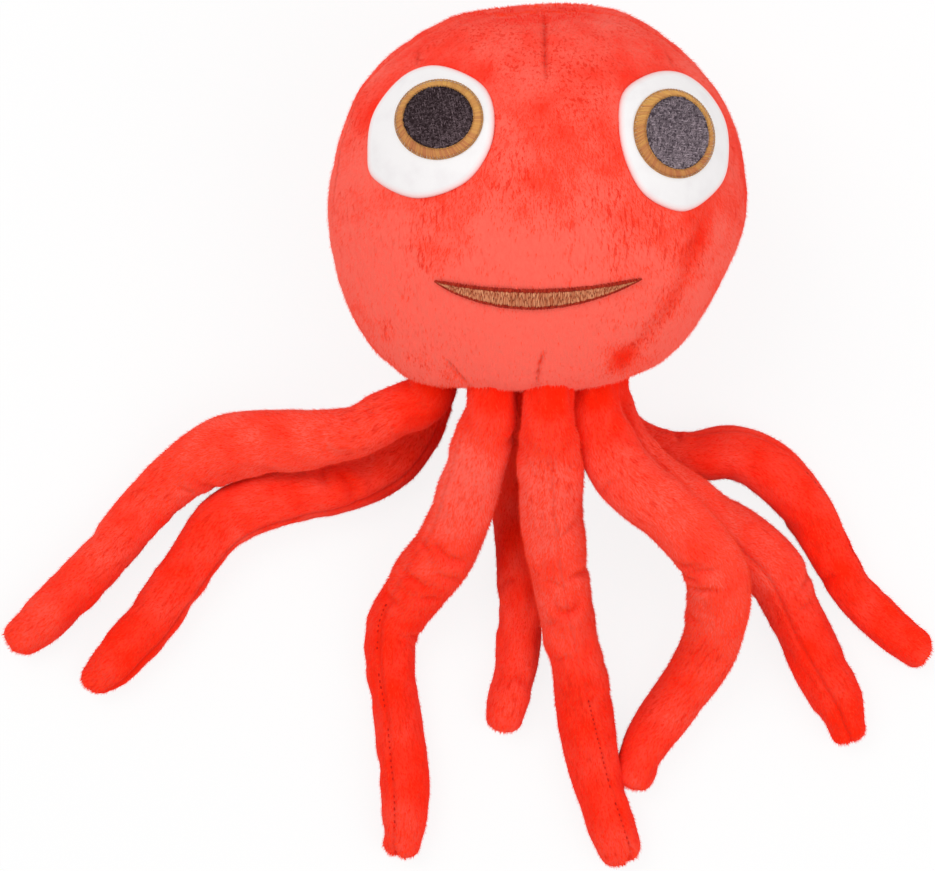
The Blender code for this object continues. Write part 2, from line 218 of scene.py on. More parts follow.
def plushMarks(w):
    # The strokes show darkest where the plush is deep
    lit = plushTone(w).clip(*plush["markFade"])
    return plushStrokes(w) * w.attribute("patchy", "Fac") * (1 - lit)


def plushLook():
    look, shader, w = newLook("redPlush", plush["base"], 0.95, 0.15, plush["sheenTint"], 0.08)
    colour = w.coloured(plushTone(w).clip(0.0, 1.0), (*plush["deep"], 1), (*plush["light"], 1))
    colour = w.coloured(plushMarks(w) * plush["markDepth"], colour, (*plush["mark"], 1))
    colour = w.coloured(w.attribute("seam", "Fac"), colour, (*plush["seam"], 1))
    plug(shader, "Base Color", colour)
    laid = w.attribute("laid")
    height = laid.speckle(alongNap(plush["fineHair"]), 2.0, 0.6) * plush["fineHairHeight"]
    height = height + laid.speckle(alongNap(plush["hair"])) * plush["hairHeight"]
    plug(shader, "Normal", w.bumped(0.5, plush["relief"], height))
    return look


def fibreLooks():
    # Plain reds from deep to light, and the one of the strokes, so that the pile follows the cloth under it
    tints = ("deep", "base", "light", "mark")
    return [newLook(tint + "Pile", plush[tint], 0.9, 0.1, plush["sheenTint"], 0.08)[0] for tint in tints]


eyeCloth = {
    "colour": linear(246, 243, 243),
    "shade": linear(232, 226, 228),
    # painted reflected light: the pink that the red plush bounces onto the patch's edge
    "rim": linear(252, 190, 186),
    "rib": 1500,
    "ribRelief": 0.0003,
    "cloud": 120,           # faint shaded patches on a metre
    "cloudEdge": (0.45, 0.8),
    "cloudDepth": 0.35,
}


def eyeClothLook():
    look, shader, w = newLook("whiteKnit", eyeCloth["colour"], 0.75, 0.15, (1, 1, 1), 0.25)
    place = w.node("ShaderNodeTexCoord", None, None, "Object")
    shade = place.speckle(eyeCloth["cloud"]).clip(*eyeCloth["cloudEdge"]) * eyeCloth["cloudDepth"]
    colour = w.coloured(shade, (*eyeCloth["colour"], 1), (*eyeCloth["shade"], 1))
    # painted pink bounce from the red plush towards the patch's edge
    colour = w.coloured(w.attribute("rim", "Fac"), colour, (*eyeCloth["rim"], 1))
    plug(shader, "Base Color", colour)
    plug(shader, "Normal", w.bumped(0.25, eyeCloth["ribRelief"], place.speckle(eyeCloth["rib"], 1.0)))
    return look


threads = {
    "iris": (linear(196, 124, 80), linear(230, 178, 98)),
    "irisEdge": (linear(172, 118, 70), linear(206, 152, 88)),
    "leftPupil": (linear(42, 26, 30), linear(140, 119, 125)),
    "rightPupil": (linear(74, 62, 70), linear(192, 174, 182)),
    "mouth": (linear(186, 92, 56), linear(240, 166, 122)),
    # the mouth's edges: painted shade under the overhanging pile, with dark pile fibres
    "mouthEdge": (linear(142, 16, 6), linear(188, 58, 32)),
    "red": (linear(186, 18, 10), linear(222, 34, 20)),
}


threadFinish = {"roughness": 0.7, "grain": 5000, "relief": 0.0002}


def threadLook(name):
    # Each stitch carries its own tone, from the first colour to the second
    colour, other = threads[name]
    look, shader, w = newLook(name + "Thread", colour, threadFinish["roughness"], 0.05, other, 0.15)
    tone = w.attribute("tone", "Fac")
    plug(shader, "Base Color", w.coloured(tone, (*colour, 1), (*other, 1)))
    fine = w.node("ShaderNodeTexCoord", None, None, "Object").speckle(threadFinish["grain"], 1.0)
    plug(shader, "Normal", w.bumped(0.3, threadFinish["relief"], fine))
    return look


looks = {name: threadLook(name) for name in threads}
looks["plush"] = plushLook()
looks["eye"] = eyeClothLook()
pileLooks = fibreLooks()
print("materials:", len(bpy.data.materials))


# Mesh helpers

def vectorsOf(data, field):
    flat = np.empty(len(data) * 3, np.float32)
    data.foreach_get(field, flat)
    return flat.reshape(-1, 3).astype(float)


def coordsOf(mesh):
    return vectorsOf(mesh.vertices, "co")


def normalsOf(mesh):
    return vectorsOf(mesh.vertex_normals, "vector")


def laidOf(mesh):
    # Where each point lies on its cover before any stuffing: aside, along the nap and outwards
    return vectorsOf(mesh.attributes["laid"].data, "vector")


def setCoords(mesh, places):
    mesh.vertices.foreach_set("co", places.astype(np.float32).ravel())
    mesh.update()


def writeAttribute(mesh, name, values):
    kind, field = ("FLOAT_VECTOR", "vector") if values.ndim == 2 else ("FLOAT", "value")
    made = mesh.attributes.get(name) or mesh.attributes.new(name, kind, "POINT")
    made.data.foreach_set(field, values.astype(np.float32).ravel())


def addObject(name, data):
    made = bpy.data.objects.new(name, data)
    bpy.context.scene.collection.objects.link(made)
    return made


def newPiece(name, bm, look):
    mesh = bpy.data.meshes.new(name)
    bm.to_mesh(mesh)
    bm.free()
    mesh.shade_smooth()
    mesh.materials.append(look)
    return addObject(name, mesh)


def asSeen(piece):
    # The piece's mesh with its modifiers applied
    graph = bpy.context.evaluated_depsgraph_get()
    found = piece.evaluated_get(graph)
    mesh = bpy.data.meshes.new_from_object(found, preserve_all_data_layers=True, depsgraph=graph)
    piece.modifiers.clear()
    old = piece.data
    piece.data = mesh
    bpy.data.meshes.remove(old)
    mesh.name = piece.name
    mesh.shade_smooth()
    return mesh


def refine(piece, levels):
    smooth = piece.modifiers.new("smooth", "SUBSURF")
    smooth.levels = levels
    smooth.render_levels = levels
    return asSeen(piece)


def treeOf(mesh):
    return BVHTree.FromPolygons(coordsOf(mesh).tolist(), [tuple(p.vertices) for p in mesh.polygons])


swelling = {"frames": 20, "quality": 6, "mass": 0.0005, "stiffness": 5.0, "bending": 0.02}


def swell(piece, held, sizes, ring=0):
    # Stuffs the piece: cloth under pressure from inside, held at the given points and moved a little way.
    # An arm keeps its lie: what moves a whole ring of its points is left out.
    before = coordsOf(piece.data)
    group = piece.vertex_groups.new(name="held")
    group.add([int(i) for i in np.flatnonzero(held)], 1.0, "REPLACE")
    cloth = piece.modifiers.new("stuffing", "CLOTH")
    cloth.settings.quality = swelling["quality"]
    cloth.settings.mass = swelling["mass"]
    for way in ("tension", "compression", "shear"):
        setattr(cloth.settings, way + "_stiffness", swelling["stiffness"])
    cloth.settings.bending_stiffness = swelling["bending"]
    cloth.settings.shrink_min = -sizes["spare"]
    cloth.settings.use_pressure = True
    cloth.settings.uniform_pressure_force = sizes["pressure"]
    cloth.settings.vertex_group_mass = "held"
    cloth.settings.effector_weights.gravity = 0
    cloth.collision_settings.use_collision = False
    cloth.point_cache.frame_end = swelling["frames"]
    for number in range(1, swelling["frames"] + 1):
        bpy.context.scene.frame_set(number)
    found = piece.evaluated_get(bpy.context.evaluated_depsgraph_get())
    after = coordsOf(found.data)
    piece.modifiers.remove(cloth)
    bpy.context.scene.frame_set(1)
    piece.vertex_groups.clear()
    moved = after - before
    if ring:
        rings = moved.reshape(-1, ring, 3)
        moved = (rings - rings.mean(1, keepdims=True)).reshape(-1, 3)
    far = np.linalg.norm(moved, axis=1, keepdims=True)
    print("  stuffed", piece.name, "moved", round(float(far.mean()) * 1000, 2), "mm")
    setCoords(piece.data, before + moved * np.minimum(1, sizes["most"] / np.maximum(far, 1e-9)))


def rough(places, size, seed):
    # Soft noise from -1 to 1, with lumps about as wide as size
    move = Vector((seed * 7.3, seed * 3.1, seed * 5.7))
    return np.array([noise.noise(Vector(p) / size + move) for p in places])


def bell(gap, width):
    return np.exp(-((gap / width) ** 2))


def curveAt(a, b, c, d, t):
    # A place on a smooth line from b to c, t of the way along; a and d are the points before and after them
    bend = (a * 2 - b * 5 + c * 4 - d) * t**2 + (b * 3 - a - c * 3 + d) * t**3
    return (b * 2 + (c - a) * t + bend) / 2


def smoothed(table, count=400):
    # Looks up a smooth curve through (place, value) pairs
    xs = np.array([t[0] for t in table], float)
    ys = np.array([t[1] for t in table], float)
    slopes = np.gradient(ys, xs)
    grid = np.linspace(xs[0], xs[-1], count)
    i = np.clip(np.searchsorted(xs, grid) - 1, 0, len(xs) - 2)
    width = xs[i + 1] - xs[i]
    t = (grid - xs[i]) / width
    values = (2 * t**3 - 3 * t**2 + 1) * ys[i] + (t**3 - 2 * t**2 + t) * slopes[i] * width
    values += (3 * t**2 - 2 * t**3) * ys[i + 1] + (t**3 - t**2) * slopes[i + 1] * width
    return lambda x: np.interp(x, grid, values)


# Head

head = {
    "width": 0.163,
    "depth": 0.150,
    "height": 0.141,
    "middleShare": 0.534,
    "tilt": math.radians(15),
    "restFlat": 0.0005,
    # along the axis from the crown, and the half-width there; the end bulges past the flat base
    "outlineShares": (
        (0.0, 0.0), (0.018, 0.28), (0.064, 0.51), (0.12, 0.655), (0.22, 0.83), (0.34, 0.94), (0.45, 0.985),
        (0.56, 1.0), (0.67, 0.975), (0.78, 0.905), (0.88, 0.80), (0.95, 0.70), (1.0, 0.60), (1.022, 0.52),
        (1.036, 0.40), (1.045, 0.22), (1.048, 0.0),
    ),
    "cuts": 27,
    # Uneven stuffing: a direction from the middle, how far it pushes the cover out, and its spread
    "bulges": (
        ((-0.72, -0.69, 0.0), 0.0062, 25), ((-0.60, -0.80, 0.0), 0.0014, 14),
        ((-1.0, -0.06, 0.0), 0.0012, 11), ((-0.77, 0.64, 0.0), 0.0015, 13),
        ((-0.08, 1.0, 0.0), -0.0011, 17), ((0.31, 0.95, 0.0), 0.0007, 11),
        ((0.55, 0.80, 0.0), 0.0016, 26), ((0.94, 0.34, 0.0), 0.0008, 13),
        ((1.0, 0.05, 0.0), 0.0012, 17), ((0.92, -0.39, 0.0), -0.0011, 9),
        ((0.85, -0.53, 0.0), -0.0014, 15), ((0.76, -0.65, 0.0), 0.0009, 9),
    ),
    # Painted light and shade, with the pile's own lighter and deeper patches: where the plush is lighter or
    # deeper, as seen from the camera: a place, its radius, and by how much
    "tint": 0.50,
    "toneAndPaintedLightBlooms": (
        ((-0.066, -0.024), 0.026, 0.50), ((-0.003, -0.062), 0.034, 0.85), ((0.047, -0.050), 0.024, 0.50),
        ((0.006, -0.010), 0.026, 0.35), ((-0.040, -0.045), 0.022, 0.34), ((0.006, 0.026), 0.018, -0.10),
        ((0.064, -0.018), 0.017, 0.34), ((0.0325, -0.0635), 0.005, -0.55), ((-0.0330, -0.0680), 0.005, -0.35),
        ((-0.0440, -0.0620), 0.004, -0.40), ((0.020, 0.060), 0.022, 0.14), ((-0.030, 0.062), 0.018, -0.05),
        ((0.078, 0.004), 0.010, -0.20), ((-0.073, 0.010), 0.012, 0.35), ((-0.058, 0.050), 0.010, 0.25),
        ((0.064, 0.050), 0.008, 0.30),
    ),
    "slack": 0.0026,        # the stuffing pushes the cover out by about this much
    "most": 0.0030,
    "pressure": 12.0,
    "spare": 0.02,
    "levels": 2,
    "heldBeside": 0.0022,   # the side seam and the resting side aren't pushed out
    "heldBelow": 0.004,
    "rimDepth": 0.0009,     # the groove along the side seam
    "rimWidth": 0.0011,
    "rimDark": 0.6,
    "rimLine": 0.0006,
    "lumpSize": 0.030,
    "lump": 0.0007,
    "clumpSize": 0.0045,
    "clump": 0.00028,
    "tuftSize": 0.0016,
    "tuft": 0.00014,
}
axis = Vector((0, -math.cos(head["tilt"]), -math.sin(head["tilt"])))
across = Vector((1, 0, 0))
front = axis.cross(across)
headFrame = np.array([across, -axis, front])        # rows: across, towards the crown, out of the face
girthAt = smoothed(head["outlineShares"])
tableGap = 0.0002        # how far all plush stays off the table
tableSide = 0.002        # below this height no pile grows


def formRadius(ways):
    # How far the head's cover is from its middle in each direction, found by halving
    low = np.zeros(len(ways))
    high = np.full(len(ways), head["width"])
    parts = ways @ headFrame.T
    end = head["outlineShares"][-1][0]
    for _ in range(30):
        middle = (low + high) / 2
        share = head["middleShare"] - parts[:, 1] * middle / head["height"]
        wide = np.hypot(parts[:, 0] / (head["width"] / 2), parts[:, 2] / (head["depth"] / 2)) * middle
        outside = (share < 0) | (share > end) | (wide > girthAt(share))
        high = np.where(outside, middle, high)
        low = np.where(outside, low, middle)
    return low


def headCage():
    # Evenly spaced squares all round: a cube, cut up and blown out to the head's form
    bm = bmesh.new()
    bmesh.ops.create_cube(bm, size=2)
    bmesh.ops.subdivide_edges(bm, edges=bm.edges[:], cuts=head["cuts"], use_grid_fill=True)
    for v in bm.verts:
        v.co = Vector([math.tan(c * math.pi / 4) for c in v.co]).normalized()
    ways = np.array([v.co for v in bm.verts]) @ headFrame
    reach = formRadius(ways)
    for way, push, degrees in head["bulges"]:
        angle = np.degrees(np.arccos(np.clip(ways @ np.array(Vector(way).normalized()), -1, 1)))
        reach += push * bell(angle, degrees)
    for v, place in zip(bm.verts, ways * reach[:, None]):
        v.co = Vector(place)
    return bm


# Seams and darts on the face, as they are seen from the camera at the height of the head's middle
cheekFold = (
    (0.0338, -0.0629), (0.0427, -0.0535), (0.0520, -0.0442), (0.0566, -0.0349), (0.0590, -0.0256),
    (0.0629, -0.0163), (0.0663, -0.0070),
)
headSeams = [
    {"points": ((0.0032, 0.0765), (0.0030, 0.0620), (0.0034, 0.0460)), "depth": 0.0013, "width": 0.0013,
     "dark": 0.5},
    {"points": ((-0.0462, 0.0587), (-0.0465, 0.0510)), "depth": 0.0007, "width": 0.0011, "dark": 0.5},
    {"points": ((0.0500, 0.0570), (0.0528, 0.0505)), "depth": 0.0006, "width": 0.0011, "dark": 0.4},
    {"points": ((0.0025, -0.0600), (0.0008, -0.0655), (-0.0004, -0.0735)), "depth": 0.0015, "width": 0.0012,
     "dark": 0.5},
    {"points": ((-0.0357, -0.0628), (-0.0310, -0.0690), (-0.0262, -0.0738)), "depth": 0.0014, "width": 0.0012,
     "dark": 0.5},
    {"points": ((0.0330, -0.0600), (0.0325, -0.0700)), "depth": 0.0009, "width": 0.0016, "dark": 0.1},
    {"points": ((0.0482, 0.0615), (0.0592, 0.0560), (0.0665, 0.0490), (0.0735, 0.0395), (0.0785, 0.0285)),
     "depth": 0.0010, "width": 0.0012, "dark": 0.5},
    # the cheek's fold: a soft groove with a little painted shade along it
    {"points": cheekFold, "depth": 0.0014, "width": 0.0050, "dark": 0.04},
    {"points": ((-0.0790, 0.0000), (-0.0765, 0.0200), (-0.0700, 0.0385)), "depth": 0.0007, "width": 0.0012,
     "dark": 0.5},
]
sewing = {
    "step": 0.0008,         # between the places that are looked up on a seam
    "reach": 0.08,          # a seam presses no farther than this from its middle
    "ending": 6,            # in so many steps a seam would grow from nothing to its full depth
    "endShare": 0.35,       # but it starts with this share of it
    "pucker": 0.25,
    "puckerTurn": 1.3,
    "line": 1.8,            # how much narrower the dark line is than the groove
    "frontFrom": 0.010,     # seams are pressed in above this height over the head's middle, and on the chin
    "chinBelow": -0.06,
}
# painted shade: the plush is painted deeper along the cheek's fold
foldShade = {"step": 0.003, "size": 0.0040, "tint": -0.22}      # deeper plush along the cheek's fold


def onto(tree, x, y, lift=0.0):
    # The place and outward normal where the line of sight through (x, y) meets the surface
    aim = Vector((x, y, headMiddle.z))
    way = (aim - cameraPlace).normalized()
    place, normal, _, _ = tree.ray_cast(cameraPlace, way)
    if place is None:
        place, normal, _, _ = tree.find_nearest(aim)
    if normal.dot(way) > 0:
        normal = -normal
    return place + normal * lift, normal


def spread(points, step):
    # Points every step along a line through the given ones
    found = []
    for first, second in zip(points, points[1:]):
        first, second = Vector(first), Vector(second)
        count = max(int((second - first).length / step), 1)
        found += [first.lerp(second, i / count) for i in range(count)]
    return found + [Vector(points[-1])]


def pressSeams(mesh, tree, seams):
    # Draws the cover in along each seam, and returns how dark the seam makes each point
    places, normals = coordsOf(mesh), normalsOf(mesh)
    dark = np.zeros(len(places))
    depth = np.zeros(len(places))
    for seam in seams:
        line = [onto(tree, p.x, p.y)[0] for p in spread(seam["points"], sewing["step"])]
        line = [p for p in line if p.z > headMiddle.z + sewing["frontFrom"] or p.y < sewing["chinBelow"]]
        if not line:
            continue
        near = KDTree(len(line))
        for i, p in enumerate(line):
            near.insert(p, i)
        near.balance()
        away = np.linalg.norm(places - np.array(line[len(line) // 2]), axis=1)
        for i in np.flatnonzero(away < sewing["reach"]):
            _, at, gap = near.find(places[i])
            if gap > seam["width"] * 4:
                continue
            strength = min(min(at, len(line) - 1 - at) / sewing["ending"] + sewing["endShare"], 1)
            pucker = sewing["pucker"] * math.sin(at * sewing["puckerTurn"]) * bell(gap, seam["width"] * 2)
            depth[i] = max(depth[i], seam["depth"] * strength * (bell(gap, seam["width"]) + pucker))
            dark[i] = max(dark[i], seam["dark"] * strength * bell(gap * sewing["line"], seam["width"]))
    setCoords(mesh, places - normals * depth[:, None])
    return dark


def seenFlat(places):
    # Where the camera sees each place, in the plane through the head's middle
    rise = (headMiddle.z - cameraPlace.z) / (places[:, 2] - cameraPlace.z)
    over = np.array(cameraPlace)[:2]
    return over + (places[:, :2] - over) * rise[:, None]


def roughen(mesh, laid, sizes, seed):
    # Lumps of stuffing, clumps of pile that lie along the nap, and fine tufts; nothing sinks into the table
    stretched = laid * np.array([1, 0.55, 1])
    lift = sizes["lump"] * rough(laid, sizes["lumpSize"], seed)
    lift += sizes["clump"] * rough(stretched, sizes["clumpSize"], seed + 1)
    lift += sizes["tuft"] * rough(stretched, sizes["tuftSize"], seed + 2)
    places = coordsOf(mesh) + normalsOf(mesh) * lift[:, None]
    places[:, 2] = np.maximum(places[:, 2], tableGap)
    setCoords(mesh, places)
    return coordsOf(mesh)


cage = headCage()
headMiddle = Vector((0, 0, -min(v.co.z for v in cage.verts) - head["restFlat"]))
cage.free()
print("head middle:", round(headMiddle.z * 1000, 2), "mm up")


def makeHead():
    piece = newPiece("head_cover", headCage(), looks["plush"])
    full = coordsOf(piece.data)
    ways = full / np.linalg.norm(full, axis=1, keepdims=True)
    setCoords(piece.data, full - ways * head["slack"] + np.array(headMiddle))
    rim = np.abs((full @ headFrame.T)[:, 2]) < head["heldBeside"]
    swell(piece, rim | (coordsOf(piece.data)[:, 2] < head["heldBelow"]), head)
    mesh = refine(piece, head["levels"])
    laid = (coordsOf(mesh) - np.array(headMiddle)) @ headFrame.T
    writeAttribute(mesh, "laid", laid)
    dark = pressSeams(mesh, treeOf(mesh), headSeams)
    rimGap = np.abs(laid[:, 2])
    groove = head["rimDepth"] * bell(rimGap, head["rimWidth"])
    setCoords(mesh, coordsOf(mesh) - normalsOf(mesh) * groove[:, None])
    bare = treeOf(mesh)
    places = roughen(mesh, laid, head, 1)
    writeAttribute(mesh, "seam", np.maximum(dark, head["rimDark"] * bell(rimGap, head["rimLine"])))
    flats = seenFlat(places)
    tint = np.full(len(places), head["tint"])
    # painted shade along the cheek's fold, over the blooms' painted light and shade and the pile's own
    # patches
    foldShading = [(at, foldShade["size"], foldShade["tint"]) for at in spread(cheekFold, foldShade["step"])]
    for at, size, more in (*head["toneAndPaintedLightBlooms"], *foldShading):
        away = np.linalg.norm(flats - np.array(at), axis=1)
        tint += more * bell(away, size) * (laid[:, 2] > 0)
    writeAttribute(mesh, "tint", tint)
    writeAttribute(mesh, "patchy", np.ones(len(places)))
    return piece, bare


headCover, headTree = makeHead()
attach(headCover, "head")
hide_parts("head_front_panel", "head_back_panel", "head_base_panel", "head_filling")
print("head:", len(headCover.data.polygons), "faces")


# Eyes

eyes = {
    "left": {
        "centre": (-0.0414, 0.0247),
        "half": (0.0245, 0.0260),
        "outlineShares": (
            (-0.02, 1.0), (0.46, 0.92), (0.88, 0.66), (1.02, 0.23), (0.92, -0.29), (0.52, -0.76),
            (-0.22, -0.97), (-0.875, -0.69), (-0.985, -0.285), (-0.89, 0.29), (-0.48, 0.80),
        ),
        "iris": {"centre": (-0.0380, 0.0300), "half": (0.0171, 0.01535), "turn": math.radians(12)},
        "pupil": {"centre": (-0.0383, 0.0308), "half": (0.0138, 0.01225), "turn": math.radians(6)},
        "rowTurn": math.radians(12),
        "shine": 0.13,          # how light its stitches are, from 0 to 1
    },
    "right": {
        "centre": (0.05305, 0.0214),
        "half": (0.0214, 0.0266),
        "outlineShares": (
            (-0.42, 0.99), (0.11, 1.0), (0.57, 0.75), (0.905, 0.32), (0.98, -0.16), (0.86, -0.60),
            (0.40, -0.95), (-0.01, -1.0), (-0.54, -0.77), (-0.86, -0.33), (-1.0, 0.18), (-0.93, 0.71),
        ),
        "iris": {"centre": (0.0531, 0.0245), "half": (0.0152, 0.0175), "turn": math.radians(24)},
        "pupil": {"centre": (0.0544, 0.0249), "half": (0.0122, 0.01455), "turn": math.radians(14)},
        "rowTurn": math.radians(82),
        "shine": 0.25,
    },
}
# A disc of cloth: its sides and rings, how far it lies off what is under it, how far its middle stands up
# and its rolled edge does, and how thick the cloth is
eyePatch = {"sides": 96, "rings": 14, "low": 0.0004, "puff": 0.0011, "edge": 0.0012, "wall": 0.0008}
pupilPad = {"sides": 64, "rings": 8, "low": 0.0001, "puff": 0.0, "edge": 0.0001, "wall": 0.0004}


def ringOf(outline, count):
    # A smooth closed line through the points, count places on it
    loop = [Vector(p) for p in outline]
    n = len(loop)
    found = []
    for k in range(count):
        whole = k / count * n
        i = int(whole)
        found.append(curveAt(*(loop[(i + j - 1) % n] for j in range(4)), whole - i))
    return found


def eyeOutline(eye, count):
    centre, half = Vector(eye["centre"]), eye["half"]
    return [centre + Vector((p.x * half[0], p.y * half[1])) for p in ringOf(eye["outlineShares"], count)]


def oval(spot, angle, share=1.0):
    # A place on an oval in the picture's plane
    turn = Matrix.Rotation(spot["turn"], 2)
    flat = Vector((math.cos(angle) * spot["half"][0], math.sin(angle) * spot["half"][1])) * share
    return Vector(spot["centre"]) + turn @ flat


def ovalRing(spot, count):
    return [oval(spot, 2 * math.pi * k / count) for k in range(count)]


def openEdges(bm, ring):
    # The edges of a ring of points that still want a face
    verts = set(ring)
    return [e for e in bm.edges if e.verts[0] in verts and e.verts[1] in verts and len(e.link_faces) < 2]


def bridgeAll(bm, loops):
    for first, second in zip(loops, loops[1:]):
        bmesh.ops.bridge_loops(bm, edges=first + second)
    bmesh.ops.recalc_face_normals(bm, faces=bm.faces[:])


def layOn(name, rim, look, tree, sizes):
    # A disc of cloth inside the rim, laid on the surface, highest in the middle and rolled under at its edge
    bm = bmesh.new()
    redBounceLayer = bm.verts.layers.float.new("rim")
    middle = sum(rim, Vector((0, 0))) / len(rim)
    loops = []
    for ring in range(1, sizes["rings"] + 1):
        made = bmesh.ops.create_circle(bm, cap_ends=ring == 1, segments=len(rim), radius=1)
        share = 1 - (1 - ring / sizes["rings"]) ** 1.5
        dome = sizes["puff"] * (1 - share**2) + sizes["edge"] * (1 - share**10) ** 0.5
        for v, p in zip(made["verts"], rim):
            flat = middle.lerp(p, share)
            v.co = onto(tree, flat.x, flat.y, sizes["low"] + dome)[0]
            # painted bounce: how far into the edge, where the plush's red light is painted pink
            v[redBounceLayer] = max((share - 0.93) / 0.07, 0)
        loops.append(openEdges(bm, made["verts"]))
    bridgeAll(bm, loops)
    if sum(f.normal.z for f in bm.faces) < 0:
        bmesh.ops.reverse_faces(bm, faces=bm.faces[:])
    piece = newPiece(name, bm, look)
    wall = piece.modifiers.new("cloth", "SOLIDIFY")
    wall.thickness = sizes["wall"]
    wall.offset = -1
    return piece


def stitchMesh(sides, parts):
    # One stitch as a template: x runs along it, y and z round it
    bm = bmesh.new()
    place = Matrix.Translation((0.5, 0, 0)) @ Matrix.Rotation(math.pi / 2, 4, "Y")
    bmesh.ops.create_cone(bm, cap_ends=True, segments=sides, radius1=1, radius2=1, depth=1, matrix=place)
    long = [e for e in bm.edges if abs(e.verts[0].co.x - e.verts[1].co.x) > 0.5]
    bmesh.ops.subdivide_edges(bm, edges=long, cuts=parts - 1)
    mesh = bpy.data.meshes.new("stitch")
    bm.to_mesh(mesh)
    bm.free()
    return mesh


def addStitch(bm, template, tree, ends, radius, lift, tone, bow=0.5):
    # Lays a stitch on the surface from one place in the picture's plane to the other
    known = len(bm.verts)
    bm.from_mesh(template)
    bm.verts.ensure_lookup_table()
    first, second = (Vector(e) for e in ends)
    stations = {}
    layer = bm.verts.layers.float["tone"]
    for v in bm.verts[known:]:
        t = round(v.co.x, 3)
        if t not in stations:
            flat = first.lerp(second, t)
            stations[t] = onto(tree, flat.x, flat.y)
        place, normal = stations[t]
        side = normal.cross(Vector((*(second - first), 0))).normalized()
        arch = math.sin(math.pi * min(max(t, 0.03), 0.97)) ** bow
        thick = radius * (0.45 + 0.55 * arch)
        v.co = place + normal * (lift * arch + v.co.z * thick) + side * (v.co.y * thick)
        v[layer] = min(max(tone, 0), 1)


def newStitching():
    bm = bmesh.new()
    bm.verts.layers.float.new("tone")
    return bm


stitching = {
    "sides": 5,
    "parts": 3,
    "irisPitch": 0.00050,
    "irisRadius": 0.00030,
    "edgePitch": 0.0011,
    "edgeRadius": 0.00022,
    "rowPitch": 0.00048,
    "rowRadius": 0.00027,
    "rowStitch": 0.00115,
    "rowSlip": 0.1,         # how far a stitch slips along its row and aside, in stitches and rows
    "rowAside": 0.2,
    "crossLift": 0.00012,   # how much higher the rows that cross the first ones lie
    "lift": 0.00035,
    "inside": 0.98,         # the share of the pupil that the rows fill
}
longStitch = stitchMesh(stitching["sides"], stitching["parts"])


def addRows(bm, tree, centre, reach, turn, pitch, inside, lift, toneOf):
    # Rows of short stitches over a shape, each row half a stitch along from the last
    turned = Matrix.Rotation(turn, 2)
    step = stitching["rowStitch"]
    slip, off = stitching["rowSlip"], stitching["rowAside"]
    rows, steps = int(reach / pitch), int(reach / step) + 1
    for row in range(-rows, rows + 1):
        for k in range(-steps, steps + 1):
            start = (k + (row % 2) / 2 + rng.uniform(-slip, slip)) * step
            aside = (row + rng.uniform(-off, off)) * pitch
            ends = [centre + turned @ Vector((x, aside)) for x in (start, start + step * 1.05)]
            if all(inside(end) for end in ends):
                addStitch(bm, longStitch, tree, ends, stitching["rowRadius"], lift, toneOf(ends[0]), 0.35)


def addOutline(bm, tree, ring, radius, lift):
    # Stitches end to end along a closed line
    for first, second in zip(ring, ring[1:] + ring[:1]):
        addStitch(bm, longStitch, tree, (first, second), radius, lift, rng.uniform(0, 1), 0.4)


def makeIris(name, eye, tree):
    # Satin stitches across the ring, side by side
    bm = newStitching()
    outer, inner = eye["iris"], eye["pupil"]
    count = int(math.pi * sum(outer["half"]) / stitching["irisPitch"])
    for k in range(count):
        angle = 2 * math.pi * k / count
        wave = 0.010 * math.sin(k * 2.4)
        ends = (oval(inner, angle + 0.02, 0.98 + wave), oval(outer, angle - 0.02, 0.99 + wave))
        gold = 0.5 + 0.5 * math.sin(angle + 0.5)
        tone = 0.15 + gold * 0.6 + rng.uniform(-0.3, 0.3)
        addStitch(bm, longStitch, tree, ends, stitching["irisRadius"], stitching["lift"], tone)
    return newPiece(name, bm, looks["iris"])


def makeIrisEdge(name, eye, tree):
    bm = newStitching()
    for spot in (eye["iris"], eye["pupil"]):
        ring = ovalRing(spot, int(math.pi * sum(spot["half"]) / stitching["edgePitch"]))
        addOutline(bm, tree, ring, stitching["edgeRadius"], stitching["lift"] * 1.3)
    return newPiece(name, bm, looks["irisEdge"])


def makePupil(name, eye, tree, look):
    # Two layers of rows, the second across the first and half as close
    bm = newStitching()
    spot = eye["pupil"]
    middle, reach = Vector(spot["centre"]), max(spot["half"]) * 1.05
    back = Matrix.Rotation(-spot["turn"], 2)

    def inside(flat):
        p = back @ (flat - middle)
        return math.hypot(p.x / spot["half"][0], p.y / spot["half"][1]) < stitching["inside"]

    def toneOf(flat):
        # lighter towards the lower right, where the light catches it
        lit = (flat - middle).dot(Vector((0.6, -0.8))) / max(spot["half"])
        return rng.normal(eye["shine"] + 0.06 + 0.10 * lit, 0.20)

    pitch, lift, turn = stitching["rowPitch"], stitching["lift"], eye["rowTurn"]
    addRows(bm, tree, middle, reach, turn, pitch, inside, lift, toneOf)
    lift += stitching["crossLift"]
    addRows(bm, tree, middle, reach, turn + math.pi / 2, pitch * 2, inside, lift, toneOf)
    return newPiece(name, bm, look)


